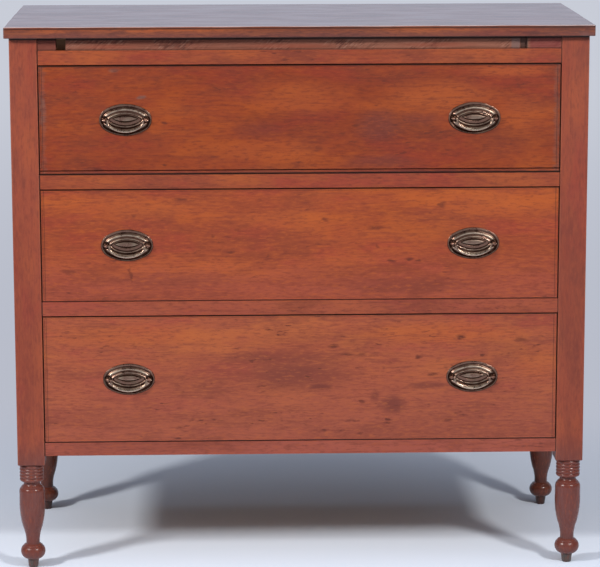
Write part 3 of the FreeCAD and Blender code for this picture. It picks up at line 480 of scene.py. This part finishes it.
topCherry = cherry(
    "topCherry", shift=(3.1, 0.7, 0.1), relief=True,
    body=(112, 53, 29), warm=(128, 64, 30), red=(110, 43, 27), deep=(75, 32, 18),
    # the near-white rubbed tone on the arris is wear with a painted highlight
    crownTone=(126, 66, 48), rubbed=(240, 222, 216),
    roughness=0.34, specular=0.25, coat=0.87, coatRoughness=0.2,
    amber=[(-0.25, 1.018, 0.2, 0.004, 0.5), (0.2, 1.017, 0.3, 0.004, 0.4),
           (-0.46, 1.016, 0.06, 0.006, 0.5)],
    plum=[(0.0, 1.0075, 9.0, 0.0065, 0.5)],
    dark=[(0.42, 1.011, 0.05, 0.004, 0.6), (-0.1, 1.008, 0.14, 0.003, 0.5), (0.1, 1.017, 0.2, 0.002, 0.6)],
    # painted shade: a dark line under the highlit arris, and one along the foot of the edge
    gaps=[(0.0, 1.0214, 9.0, 0.0020, 0.6), (0.0, 1.0050, 9.0, 0.0014, 0.5)])
railCherry = cherry(
    "railCherry", shift=(4.6, 0.2, 0.3), roseBand=(0.2, 0.74),
    body=(137, 62, 35), warm=(150, 73, 34), red=(135, 52, 36), deep=(102, 43, 27), rose=(145, 73, 58),
    # painted shade in the joints with the posts and in the gap under the fall
    gaps=[(-0.4796, 0.7, 0.0018, 9.0, 0.9), (0.4796, 0.7, 0.0014, 9.0, 0.7),
          (0.0, 0.7522, 9.0, 0.0012, 0.8)])
postCherry = cherry(
    "postCherry", grain="z", shift=(5.2, 0.1, 0.6), relief=True, flecks=0.3, specular=0.36,
    body=(132, 59, 37), warm=(142, 67, 38), red=(131, 52, 36), deep=(102, 43, 29), legTone=(93, 56, 51),
    # painted shadow under the top board, across the head of each post
    gaps=[(0.0, 1.0032, 9.0, 0.0042, 0.95)])
# A darker copy of the post finish for the rear posts: painted shade, as they stand in the case's shadow
rearShadedCherry = cherry(
    "rearShadedCherry", grain="z", shift=(8.2, 0.5, 0.6), relief=True, flecks=0.3, specular=0.36,
    body=(124, 58, 38), warm=(137, 66, 40), red=(122, 51, 37), deep=(97, 42, 31),
    legTone=(76, 46, 36), pegTone=(46, 44, 40))
panelCherry = cherry(
    "panelCherry", grain="z", shift=(6.4, 0.9, 0.2),
    body=(131, 62, 40), warm=(146, 72, 40), red=(126, 54, 40), deep=(98, 44, 32))
innerCherry = cherry(
    "innerCherry", shift=(7.7, 0.3, 0.8), flecks=0.35, roughness=0.46,
    body=(158, 90, 56), warm=(172, 104, 64), red=(150, 80, 56), deep=(126, 66, 42))
print("cherry finishes made")


# Plain poplar inside, and the rough strip under the top
poplarLook = {"pale": (172, 136, 100), "tan": (148, 110, 78), "stain": (98, 70, 51)}
roughLook = {"pale": (112, 59, 42), "tan": (130, 80, 61), "stain": (60, 27, 18), "scar": (150, 112, 94)}
roughMarksAndShade = [  # tone, firmness and places of each kind of mark, the last a painted shadow under the top board
    ((94, 36, 26), 0.8, [(-0.462, 0.99, 0.024, 0.2, 0.65)]),
    ((114, 44, 42), 0.8, [(0.45, 0.99, 0.032, 0.2, 0.7)]),
    ((104, 86, 82), 0.8, [(0.395, 0.99, 0.0085, 0.2, 0.6)]),
    ((68, 52, 46), 0.7, [(0.411, 0.99, 0.008, 0.2, 0.7)]),
    ((126, 60, 40), 0.2, [(-0.35, 0.987, 0.08, 0.006, 0.6), (-0.02, 0.987, 0.12, 0.006, 0.6),
                          (0.25, 0.988, 0.1, 0.007, 0.6)]),
    ((60, 30, 22), 0.4, [(0.0, 0.9812, 9.0, 0.0020, 0.5)]),
    # painted shadow under the top board
    ((20, 10, 8), 0.4, [(0.0, 1.0025, 9.0, 0.0054, 0.9)]),
]


def plainWood(name, look, grain="x", shift=(0, 0, 0), depth=0.0008, marksAndShade=(), scarTurn=None):
    material, tree, shader, place = startMaterial(name)
    turned = alongGrain(tree, place, grain, shift)
    broad = grainNoise(tree, turned, (2.5, 24, 24), (2, 4, 1), 4.0)
    saw = grainNoise(tree, turned, (12, 300, 300), (1, 2, 8), 5.0, 0.65)
    dirt = grainNoise(tree, turned, (9, 14, 14), (7, 3, 3), 5.0, 0.6)
    stain = tone(*look["stain"])
    colour = blend(tree, fade(tree, broad, 0.35, 0.65), tone(*look["pale"]), tone(*look["tan"]))
    colour = blend(tree, fade(tree, saw, 0.45, 0.75, 0.0, 0.5), colour, stain)
    if scarTurn:  # slanting saw scars, in places
        slanted = add(tree, "Mapping", {"Rotation": (0, scarTurn, 0)}, {"Vector": place}).outputs[0]
        scar = grainNoise(tree, slanted, (60, 60, 420), (2, 1, 5), 3.0, 0.6)
        here = fade(tree, dirt, 0.4, 0.58)
        hollow = sums(tree, "MULTIPLY", fade(tree, scar, 0.5, 0.62, 0.0, 0.7), here)
        ridge = sums(tree, "MULTIPLY", fade(tree, scar, 0.48, 0.36, 0.0, 0.55), here)
        colour = blend(tree, hollow, colour, stain)
        colour = blend(tree, ridge, colour, tone(*look["scar"]))
    # marks, and on the rough strip a painted shadow under the top
    for shade, firm, spots in marksAndShade:
        colour = blend(tree, patches(tree, place, spots, firm), colour, tone(*shade))
    colour = blend(tree, fade(tree, dirt, 0.52, 0.7, 0.0, 0.6), colour, stain)
    shader.inputs["Specular IOR Level"].default_value = 0.25
    relief = sums(tree, "ADD", saw, sums(tree, "MULTIPLY", broad, 0.8))
    surface(tree, shader, colour, fade(tree, saw, 0.3, 0.7, 0.55, 0.8), relief, 0.5, depth)
    return material


poplarAcross = plainWood("poplarAcross", poplarLook)
poplarDeep = plainWood("poplarDeep", poplarLook, grain="y", shift=(1.3, 0.4, 0.2))
roughStrip = plainWood("roughStrip", roughLook, depth=0.0016, marksAndShade=roughMarksAndShade, scarTurn=0.65)


# Brass, brown with age: dark in the hollows with grime and painted shade, rubbed bright on the crests with
# a painted highlight
brassLook = {
    "brown": (146, 111, 95),
    "rubbed": (203, 183, 160),
    "grimeAndShade": (44, 22, 13),
    "green": (106, 96, 80),
    "roughness": 0.32,
    "speckle": 0.4,
}


def agedBrass(name, look, relief=True):
    material, tree, shader, place = startMaterial(name)
    cloud = grainNoise(tree, place, (90, 90, 90), (1, 2, 3), 4.0, 0.6)
    fine = grainNoise(tree, place, (420, 420, 420), (4, 0, 2), 3.0, 0.6)
    colour = blend(tree, fade(tree, cloud, 0.45, 0.7, 0.0, 0.5), tone(*look["brown"]), tone(*look["green"]))
    if relief:
        colour = wearAndShade(tree, colour, look, cloud, 0.8, 0.92)
    colour = blend(tree, fade(tree, fine, 0.55, 0.75, 0.0, look["speckle"]), colour, tone(*look["grimeAndShade"]))
    shader.inputs["Metallic"].default_value = 1.0
    pitted = sums(tree, "ADD", fine, cloud)
    gloss = fade(tree, pitted, 0.7, 1.3, look["roughness"] - 0.08, look["roughness"] + 0.14)
    surface(tree, shader, colour, gloss, pitted, 0.25, 0.0004)
    return material


plainBrass = agedBrass("plainBrass", brassLook, relief=False)
pullBrass = agedBrass("pullBrass", brassLook)
bailBrass = agedBrass("bailBrass", {**brassLook, "roughness": 0.27, "speckle": 0.1})
print("poplar and brass made")


# Dressing the boards that come from the frame
dress = {
    railCherry: ["top_rail", "upper_divider", "lower_divider", "bottom_rail"],
    panelCherry: ["end_panel_left", "end_panel_right"],
    fallCherry: ["fall_board", "fall_beads", "desk_sill"],
    middleCherry: ["middle_front", "middle_beads"],
    lowerCherry: ["lower_front", "lower_beads"],
    innerCherry: ["desk_bed", "gallery_shelves", "gallery_uprights", "gallery_valances", "small_drawer_1",
                  "small_drawer_2", "small_drawer_3", "small_drawer_4"],
    roughStrip: ["frieze_strips"],
    poplarAcross: ["back_boards", "rear_rails", "frieze_backing", "drawer_stops", "glue_blocks",
                   "desk_back", "middle_back", "lower_back", "middle_bottom", "lower_bottom"],
    poplarDeep: ["drawer_runners", "kickers", "desk_sides", "middle_sides", "lower_sides"],
    plainBrass: ["pivot_arms", "quadrant_keepers", "fall_pivot_pins", "fall_quadrants"],
}
for finish, names in dress.items():
    for name in names:
        nodes[name].data.materials.clear()
        nodes[name].data.materials.append(finish)
print("boards dressed:", sum(len(names) for names in dress.values()), "of", len(nodes))


# A closed skin is a stack of rings with a middle point at each end, and carries its relief at every point
def closedSkin(rings, start, end, crest):
    rows, columns = rings.shape[:2]
    points = np.concatenate([[start], rings.reshape(-1, 3), [end]])
    relief = np.concatenate([[0.5], np.broadcast_to(crest, (rows, columns)).ravel(), [0.5]])
    here = 1 + np.arange(rows * columns).reshape(rows, columns)
    beside = np.roll(here, -1, axis=1)
    quads = np.stack([here[:-1], beside[:-1], beside[1:], here[1:]], -1).reshape(-1, 4)
    firstFan = np.stack([np.zeros(columns, int), beside[0], here[0]], -1)
    lastFan = np.stack([np.full(columns, len(points) - 1), here[-1], beside[-1]], -1)
    corners = points[np.concatenate([quads[:, :3], quads[:, [0, 2, 3]], firstFan, lastFan])]
    volume = np.einsum("ij,ij->", corners[:, 0], np.cross(corners[:, 1], corners[:, 2]))
    if volume < 0:  # rings that run the other way are turned, so that the faces point outwards
        quads, firstFan, lastFan = quads[:, ::-1], firstFan[:, ::-1], lastFan[:, ::-1]
    return points, relief, [quads, firstFan, lastFan]


def makePiece(name, skins, finish, body, stands, sharp=40.0):
    points, relief, faces, count = [], [], [], 0
    for skinPoints, skinRelief, skinFaces in skins:
        points.append(skinPoints)
        relief.append(skinRelief)
        faces += [row for block in skinFaces for row in (block + count).tolist()]
        count += len(skinPoints)
    mesh = bpy.data.meshes.new(name)
    mesh.from_pydata(np.concatenate(points).tolist(), [], faces)
    attribute = mesh.attributes.new(reliefName, "FLOAT", "POINT")
    attribute.data.foreach_set("value", np.concatenate(relief).astype("f4"))
    mesh.shade_smooth()
    mesh.set_sharp_from_angle(angle=math.radians(sharp))
    mesh.materials.append(finish)
    piece = bpy.data.objects.new(name, mesh)
    bpy.context.scene.collection.objects.link(piece)
    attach(piece, body)
    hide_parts(*stands)
    return len(faces)


def arcThrough(first, middle, last, count):  # equal steps along the circle through three points
    points = np.array([first, middle, last], float)
    squares = (points ** 2).sum(1)
    centre = np.linalg.solve(2 * (points[1:] - points[0]), squares[1:] - squares[0])
    angles = np.unwrap(np.arctan2(points[:, 1] - centre[1], points[:, 0] - centre[0]))
    spread = np.linspace(angles[0], angles[2], count)
    return centre + np.hypot(*(points[0] - centre)) * np.stack([np.cos(spread), np.sin(spread)], 1)


# How far a profile stands above or below its own running mean, as 0 in hollows and 1 on crests
def crestOf(values, reach, scale):
    padded = np.concatenate([np.full(reach, values[0]), values, np.full(reach, values[-1])])
    mean = np.convolve(padded, np.full(2 * reach + 1, 1.0 / (2 * reach + 1)), "valid")
    return np.clip(0.5 + (values - mean) / (2 * scale), 0.0, 1.0)


# Top board: one rectangle with rounded corners, stacked upwards and drawn in where the arrises are worn.
# Its upper arris carries a painted highlight through its relief.
topSetting = {
    "corner": 4.0,  # millimetres
    "arris": 1.9,
    "underArris": 0.9,
    "wear": 0.35,  # how much the arris varies along the edge
    "waves": (61.0, 23.0),  # millimetres along the edge in which two slow waves turn by a radian
    "lips": (0.4, 0.3),  # how far past the arrises the flat faces start, below and above
    "cornerSteps": 7,
    "sideSteps": 60,
    "arrisSteps": 6,
    "underRelief": 0.55,
    # high relief on the upper arris brings in the rubbed tone, wear with a painted highlight
    "upperRelief": [0.5, 0.6, 0.8, 0.95, 0.9, 0.7],
}


def makeTop(node, setting):
    low, high = (np.array(corner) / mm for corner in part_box(node))
    middle, half = (low + high) / 2, (high - low) / 2 - setting["corner"]
    spots = np.array([[1, -1], [1, 1], [-1, 1], [-1, -1], [1, -1]]) * half[:2]
    quarter = np.linspace(-90, 0, setting["cornerSteps"])
    turns = np.radians(quarter + np.array([0, 90, 180, 270])[:, None])
    share = np.linspace(0, 1, setting["sideSteps"] + 2)[1:-1, None]
    corners = np.repeat(spots[:-1, None], setting["cornerSteps"], 1)
    sides = spots[:-1, None] + share * np.diff(spots, axis=0)[:, None]
    base = np.concatenate([corners, sides], 1).reshape(-1, 2)
    facing = np.concatenate([turns, np.repeat(turns[:, -1:], setting["sideSteps"], 1)], 1).ravel()
    outward = np.stack([np.cos(facing), np.sin(facing)], 1)
    walk = np.concatenate([[0.0], np.cumsum(np.hypot(*np.diff(base, axis=0).T))])
    longWave, shortWave = setting["waves"]
    wavy = 1 + setting["wear"] * (np.sin(walk / longWave) + np.sin(walk / shortWave + 1.0)) / 2
    bend = np.radians(np.linspace(0, 90, setting["arrisSteps"]))
    under, upper = setting["underArris"], setting["arris"]
    underIn, upperIn = under * (1 - np.sin(bend)), upper * (1 - np.cos(bend))
    underAt, upperAt = low[2] + under * (1 - np.cos(bend)), high[2] - upper * (1 - np.sin(bend))
    underLip, upperLip = setting["lips"]
    drawnIn = np.concatenate([[under + underLip], underIn, upperIn, [upper + upperLip]])[:, None]
    level = np.concatenate([low[2:], underAt, upperAt, high[2:]])[:, None]
    isUpper = np.arange(len(level))[:, None] > setting["arrisSteps"]
    inset = np.where(isUpper, drawnIn * wavy, drawnIn)
    height = np.where(isUpper, high[2] - (high[2] - level) * wavy, level)
    flat = base + (setting["corner"] - inset)[..., None] * outward
    rings = np.concatenate([flat + middle[:2], height[..., None]], 2) * mm
    underRelief = np.full(setting["arrisSteps"], setting["underRelief"])
    relief = np.concatenate([[0.5], underRelief, setting["upperRelief"], [0.5]])
    start, end = (np.array([middle[0], middle[1], z]) * mm for z in (low[2], high[2]))
    skin = closedSkin(rings, start, end, relief[:, None])
    return makePiece(node + "_worn", [skin], topCherry, "carcase", [node])


print("top board made:", makeTop("top_board", topSetting), "faces")


# Corner posts: a turned leg below and a square stile above
postSetting = {
    "foot": [(7.9, 0.0), (8.7, 0.8)],  # radius and height in millimetres
    "ball": [(10.8, 16.5), (23.0, 31.5), (12.8, 46.5)],
    "neck": [(12.8, 55.5), (14.67, 67.395), (18.3, 79.29)],
    "vase": [(18.3, 79.29), (22.92, 103.08), (23.8, 133.275)],
    "shoulder": [(23.8, 147.0), (22.072, 155.06), (17.4, 160.0)],
    "cove": [(17.4, 160.0), (15.4, 164.05), (20.9, 169.0)],
    "reeds": {"count": 5, "height": 6.3, "groove": 21.3, "crest": 22.6, "start": 169.0},
    "collar": [(22.7, 200.5), (23.4, 201.0), (23.4, 202.4), (22.9, 203.0)],
    "arcSteps": {"ball": 64, "neck": 14, "vase": 24, "shoulder": 26, "cove": 14},
    "reedSteps": 11,
    "scribes": (42.0, 156.36),  # heights of the two scratched lines
    "scribeDepth": 1.2,
    "scribeHalf": 1.3,
    "scribeLeast": 17.0,  # no scratch where the leg is thinner
    "uneven": 0.004,  # turned by hand
    "unevenRun": 21.0,  # millimetres of height in which the unevenness turns by a radian
    "crestReach": 5,  # points on either side that a crest is measured against
    "crestScale": 2.2,  # millimetres above them that count as a full crest
    "squareStart": 203.0,
    "squareEnds": (0.8, 0.5),  # how much the stile is eased at its foot and its head
    "arris": 1.7,  # radius of the worn corners
    "arrisRelief": 0.78,
}


# Leg: radius against height, a run of arcs joined end to end, less a V at each scratched line
def legProfile(setting):
    reeds, groove, rise = setting["reeds"], setting["reeds"]["groove"], setting["reeds"]["height"]
    beads = []
    for low in reeds["start"] + rise * np.arange(reeds["count"]):
        bead = [(groove, low), (reeds["crest"], low + rise / 2), (groove, low + rise)]
        beads.append(arcThrough(*bead, setting["reedSteps"])[:-1])
    arcs = {key: arcThrough(*setting[key], count) for key, count in setting["arcSteps"].items()}
    runs = [setting["foot"], arcs["ball"], arcs["neck"], arcs["vase"][1:], arcs["shoulder"],
            arcs["cove"][1:-1], *beads, setting["collar"]]
    radius, height = np.concatenate(runs).T
    for scribe in setting["scribes"]:
        near = np.clip(1 - np.abs(height - scribe) / setting["scribeHalf"], 0, None)
        radius = radius - setting["scribeDepth"] * near * (radius > setting["scribeLeast"])
    return radius, height


# Stile: a square with its corners pulled in to arcs. The leg's circles use the same bearings,
# so that one grid holds both.
def makePost(node, setting, finish):
    low, high = (np.array(corner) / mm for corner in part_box(node))
    half = (high[0] - low[0]) / 2
    middle = (low + high) / 2
    radius, height = legProfile(setting)
    outward = math.copysign(half - radius.max(), middle[0])
    flats = np.radians(np.concatenate([np.linspace(-42, 42, 13), np.linspace(43.2, 46.8, 7)]))
    bearing = (flats + np.radians([0, 90, 180, 270])[:, None]).ravel()
    ray = np.stack([np.cos(bearing), np.sin(bearing)], 1)
    uneven = 1 + setting["uneven"] * np.sin(2 * bearing + height[:, None] / setting["unevenRun"])
    turned = np.empty((len(height), len(bearing), 3))
    turned[..., :2] = radius[:, None, None] * uneven[..., None] * ray + [middle[0] + outward, middle[1]]
    turned[..., 2] = height[:, None]
    footEase, headEase = setting["squareEnds"]
    bottom, arris = setting["squareStart"], setting["arris"]
    heights = np.array([bottom, bottom + footEase, high[2] - headEase, high[2]])
    sides = (half - np.array([footEase, 0.0, 0.0, headEase]))[:, None, None]
    square = sides * ray / np.abs(ray).max(1, keepdims=True)
    inner = np.clip(square, arris - sides, sides - arris)
    past = square - inner
    stile = np.empty((len(heights), len(bearing), 3))
    stile[..., :2] = inner + arris * past / np.linalg.norm(past, axis=2, keepdims=True) + middle[:2]
    stile[..., 2] = heights[:, None]
    corner = np.abs(ray).min(1) > math.sin(math.radians(42.5))
    legRelief = crestOf(radius, setting["crestReach"], setting["crestScale"])[:, None]
    stileRelief = np.where(corner, setting["arrisRelief"], 0.5)
    relief = np.concatenate([np.broadcast_to(legRelief, turned.shape[:2]),
                             np.broadcast_to(stileRelief, stile.shape[:2])])
    rings = np.concatenate([turned, stile]) * mm
    start = np.array([middle[0] + outward, middle[1], low[2]]) * mm
    end = np.array([middle[0], middle[1], high[2]]) * mm
    skin = closedSkin(rings, start, end, relief)
    return makePiece(node + "_turned", [skin], finish, "carcase", [node])


postFaces = [makePost("post_%s_%s" % (row, side), postSetting, finish)
             for row, finish in (("front", postCherry), ("rear", rearShadedCherry)) for side in ("left", "right")]
print("corner posts turned:", sum(postFaces), "faces")


# Oval pulls: a stamped plate, two posts with nuts behind the front, and a bail
pullSetting = {
    "halfWide": 48.0,  # millimetres
    "halfHigh": 29.5,
    "endRadius": 22.0,
    # inset from the oval, rise and relief, from the rim inwards
    "stamped": [
        # the first rows, on the side wall, are dark: dirt and painted shade where the plate meets the wood
        (0.5, 0.0, 0.1), (0.0, 0.2, 0.1), (0.0, 0.7, 0.12), (0.3, 1.1, 0.2), (0.9, 1.4, 0.32),
        (1.8, 1.5, 0.4), (2.8, 1.35, 0.36), (3.6, 1.0, 0.25), (4.4, 0.6, 0.16), (5.2, 0.35, 0.12),
        (6.0, 0.4, 0.15), (6.8, 0.8, 0.3), (7.6, 1.6, 0.5), (8.4, 2.4, 0.7), (9.2, 3.0, 0.85),
        (10.0, 3.2, 0.95), (10.8, 3.15, 0.9), (11.6, 2.8, 0.75), (12.3, 2.1, 0.55), (12.9, 1.3, 0.35),
        (13.5, 0.8, 0.25), (14.1, 0.6, 0.25), (14.7, 0.8, 0.35), (15.3, 1.4, 0.5), (15.9, 2.1, 0.68),
        (16.5, 2.55, 0.8), (17.1, 2.6, 0.8), (17.6, 2.3, 0.7), (18.1, 1.6, 0.45), (18.6, 0.9, 0.2),
        (19.0, 0.4, 0.05)],
    # share of the way to the lens's groove, rise and relief
    "recess": [(0.3, 0.5, 0.45), (0.65, 0.7, 0.55)],
    # share of the lens's height, rise and relief
    "lens": [(1.5, 0.7, 0.45), (1.44, 0.4, 0.05), (1.34, 0.2, 0.0), (1.12, 0.2, 0.0), (1.02, 0.4, 0.05),
             (0.97, 1.2, 0.45), (0.9, 2.0, 0.68), (0.8, 2.6, 0.74), (0.65, 2.9, 0.74), (0.45, 3.05, 0.72),
             (0.25, 3.05, 0.72), (0.08, 3.0, 0.72)],
    "lensUp": 2.2,  # the lens sits a little above the middle
    "lensHalfWide": 22.5,
    "lensHalfHigh": 4.9,
    "lensTaper": 0.14,  # how much a ring of the lens shortens for each part that it narrows
    "postFromMiddle": 38.5,
    "seatRadius": 6.4,  # flat place under each post, painted dark round the post as its shade
    "seatRise": 1.0,
    "seatEdge": 1.4,
    "pivotDepth": 8.5,  # bail axis before the face
    "ball": 3.3,
    "neck": 2.4,
    "base": 4.4,
    "baseEdge": 0.9,
    "waist": (2.9, 1.9),  # a point on the flare: radius and height above the plate
    "shank": 2.2,
    "shankEase": 0.5,
    "shankPast": 6.0,  # how far the shank comes through, from the front's inner face
    "nut": 11.0,
    "nutThick": 4.0,
    "pin": 1.4,
    "pinEnd": 42.6,
    "wire": 2.1,
    "swell": 0.55,  # added to the wire at the middle of the bow
    "bend": 2.4,
    "sideGap": 0.35,
    "bowEnd": 12.0,
    "drop": 20.5,
}


# Plate: every ring is the oval drawn in by an inset. The oval is four arcs, so a point is its arc's centre
# plus the arc's radius less the inset, along the bearing. Rings then cross over to the pointed lens and
# shrink with it.
def plateSkin(setting, x, face, z):
    endCentre, endRadius = setting["halfWide"] - setting["endRadius"], setting["endRadius"]
    high = setting["halfHigh"]
    flank = (endCentre ** 2 + high ** 2 - endRadius ** 2) / (2 * (high - endRadius))
    join = math.atan2(flank - high, endCentre)
    quarter = np.concatenate([np.linspace(0, join, 18)[:-1], np.linspace(join, math.pi / 2, 26)])
    bearing = np.concatenate([quarter, math.pi - quarter[-2::-1], math.pi + quarter[1:],
                              2 * math.pi - quarter[-2:0:-1]])
    ray = np.stack([np.cos(bearing), np.sin(bearing)], 1)
    side = np.sign(np.round(ray, 9))
    onFlank = np.abs(ray[:, 1]) > math.sin(join)
    centre = np.where(onFlank[:, None], side * [0.0, high - flank], side * [endCentre, 0.0])
    reach = np.where(onFlank, flank, endRadius)
    inset, rise, stampedRelief = np.array(setting["stamped"]).T
    oval = centre + (reach - inset[:, None])[..., None] * ray
    halfWide, halfHigh = setting["lensHalfWide"], setting["lensHalfHigh"]
    lensRadius = (halfWide ** 2 + halfHigh ** 2) / (2 * halfHigh)
    lensX = halfWide * oval[-1, :, 0] / oval[-1, :, 0].max()
    lensZ = side[:, 1] * (np.sqrt(lensRadius ** 2 - lensX ** 2) - lensRadius + halfHigh)
    outline = np.stack([lensX, lensZ], 1)
    crossing, crossingRise, crossingRelief = np.array(setting["recess"]).T
    shrink, shrinkRise, shrinkRelief = np.array(setting["lens"]).T
    shorter = 1 - setting["lensTaper"] + setting["lensTaper"] * shrink
    inside = outline * np.stack([shorter, shrink], 1)[:, None, :] + [0.0, setting["lensUp"]]
    between = oval[-1] + crossing[:, None, None] * (inside[0] - oval[-1])
    flat = np.concatenate([oval, between, inside])
    heights = np.concatenate([rise, crossingRise, shrinkRise])
    relief = np.concatenate([stampedRelief, crossingRelief, shrinkRelief])[:, None]
    toPost = np.hypot(np.abs(flat[..., 0]) - setting["postFromMiddle"], flat[..., 1])
    seated = np.clip((toPost - setting["seatRadius"]) / setting["seatEdge"], 0.0, 1.0)
    level = np.broadcast_to(heights[:, None], flat.shape[:2])
    seat = setting["seatRise"]
    level = np.where(level > seat, seat + (level - seat) * seated, level)
    rings = np.stack([x + flat[..., 0], face - level, z + flat[..., 1]], -1) * mm
    start = np.array([x, face, z]) * mm
    end = np.array([x, face - heights[-1], z + setting["lensUp"]]) * mm
    bailShadow = np.clip(-flat[..., 1] / 10.0, 0, 1) * (relief < 0.4)  # painted shadow of the bail over the hollows below the middle
    # relief is lowered round each post and under the bail: painted shade there
    return closedSkin(rings, start, end, relief * (0.1 + 0.9 * seated) * (1 - 0.6 * bailShadow))


# Turned about a line along y: radius against depth, from the shank's end to the tip of the ball
def studSkin(setting, x, face, z, nutFace):
    ball, neck, shank = setting["ball"], setting["neck"], setting["shank"]
    pivot = face - setting["pivotDepth"]
    neckAt = pivot + math.sqrt(ball ** 2 - neck ** 2)
    base = face - setting["seatRise"]
    tail = nutFace + setting["shankPast"]
    ease = setting["shankEase"]
    rod = [(shank - ease, tail), (shank, tail - ease), (shank, base), (setting["base"], base)]
    waist, waistUp = setting["waist"]
    foot = (setting["base"], base - setting["baseEdge"])
    flare = arcThrough(foot, (waist, base - waistUp), (neck, neckAt), 9)[:-1]
    head = arcThrough((neck, neckAt), (ball, pivot), (0.5, pivot - ball * 0.985), 18)
    radius, depth = np.concatenate([rod, flare, head]).T[..., None]
    bearing = np.linspace(0, 2 * math.pi, 28, endpoint=False)
    across, upward = radius * np.cos(bearing), radius * np.sin(bearing)
    rings = np.stack([x + across, np.broadcast_to(depth, across.shape), z + upward], -1) * mm
    start = np.array([x, tail, z]) * mm
    end = np.array([x, pivot - ball, z]) * mm
    # dark at the flare where the post meets the plate: grime and painted shade
    crest = [np.full(len(rod), 0.3), np.linspace(0.05, 0.15, len(flare)), np.linspace(0.2, 0.55, len(head))]
    return closedSkin(rings, start, end, np.concatenate(crest)[:, None])


# Square nut: rounded squares stacked along y, drawn in a little at both faces
def nutSkin(setting, x, z, nutFace):
    bearing = np.linspace(0, 2 * math.pi, 32, endpoint=False)
    ray = np.stack([np.cos(bearing), np.sin(bearing)], 1)
    square = ray / (np.abs(ray) ** 8).sum(1, keepdims=True) ** 0.125
    depth = nutFace + setting["nutThick"] * np.array([0.0, 0.12, 0.88, 1.0])[:, None]
    half = setting["nut"] / 2 * np.array([0.93, 1.0, 1.0, 0.93])[:, None]
    across = half * square[:, 0]
    rings = np.stack([x + across, np.broadcast_to(depth, across.shape), z + half * square[:, 1]], -1) * mm
    start, end = (np.array([x, y, z]) * mm for y in (depth[0, 0], depth[-1, 0]))
    return closedSkin(rings, start, end, np.full((4, 1), 0.5))


# Bail: a round wire carried along pins, tight bends, end arcs and a long bow, all tangent, in one plane
def bailSkin(setting, x, face, z):
    side = setting["postFromMiddle"] - setting["ball"] - setting["sideGap"]
    bend, bowEnd, pin = setting["bend"], setting["bowEnd"], setting["pin"]
    drop = setting["drop"] - bend
    endCentre = side - bend - bowEnd
    bow = (endCentre ** 2 + drop ** 2 - bowEnd ** 2) / (2 * (drop - bowEnd))
    join = math.atan2(bow - drop, endCentre)
    turns = [(side, -bend, bend, np.linspace(math.pi / 2, math.pi, 9)),
             (endCentre, -bend, bowEnd, np.linspace(0, -join, 16)[1:]),
             (0.0, bow - drop - bend, bow, np.linspace(-join, -math.pi / 2, 24)[1:])]
    arcs = [np.stack([cx + r * np.cos(turn), cz + r * np.sin(turn)], 1) for cx, cz, r, turn in turns]
    pins = np.array([(setting["pinEnd"], 0.0), (setting["pinEnd"] - 0.4, 0.0), (side + 0.1, 0.0)])
    right = np.concatenate([pins, *arcs])
    path = np.concatenate([right, right[-2::-1] * [-1, 1]])
    low = np.clip(-right[:, 1] / setting["drop"], 0, 1)
    thick = np.concatenate([[pin * 0.8, pin, pin], np.full(len(right) - len(pins), setting["wire"])])
    thick = thick + setting["swell"] * low ** 2
    thick = np.concatenate([thick, thick[-2::-1]])[:, None]
    ahead = np.gradient(path, axis=0)
    ahead = ahead / np.linalg.norm(ahead, axis=1, keepdims=True)
    across = np.stack([-ahead[:, 1], ahead[:, 0]], 1)
    bearing = np.linspace(0, 2 * math.pi, 20, endpoint=False)
    sideways = thick * np.cos(bearing)
    pivot = face - setting["pivotDepth"]
    rings = np.stack([x + path[:, :1] + sideways * across[:, :1], pivot + thick * np.sin(bearing),
                      z + path[:, 1:] + sideways * across[:, 1:]], -1) * mm
    start, end = (np.array([x + path[k, 0], pivot, z]) * mm for k in (0, -1))
    crest = 0.7 + 0.25 * np.concatenate([low, low[-2::-1]])
    return closedSkin(rings, start, end, crest[:, None])


def makePulls(drawer, body, setting):
    plates, studs = drawer + "_back_plates", drawer + "_bail_posts"
    low, high = (np.array(corner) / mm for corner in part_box(plates))
    face, z = high[1], (low[2] + high[2]) / 2
    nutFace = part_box(studs)[1][1] / mm - setting["shankPast"]
    middles = {"left": low[0] + setting["halfWide"], "right": high[0] - setting["halfWide"]}
    plateSkins = [plateSkin(setting, x, face, z) for x in middles.values()]
    made = makePiece(drawer + "_plates_stamped", plateSkins, pullBrass, body, [plates], 50.0)
    places = [x + way * setting["postFromMiddle"] for x in middles.values() for way in (-1, 1)]
    studSkins = [studSkin(setting, x, face, z, nutFace) for x in places]
    studSkins += [nutSkin(setting, x, z, nutFace) for x in places]
    made += makePiece(drawer + "_posts_turned", studSkins, pullBrass, body, [studs])
    for side, x in middles.items():
        bail = "%s_bail_%s" % (drawer, side)
        made += makePiece(bail + "_wire", [bailSkin(setting, x, face, z)], bailBrass, bail, [bail])
    return made


pullFaces = [makePulls(drawer, body, pullSetting) for drawer, body in
             (("fall", "fall_front"), ("middle", "middle_drawer"), ("lower", "lower_drawer"))]
print("pulls made:", sum(pullFaces), "faces")
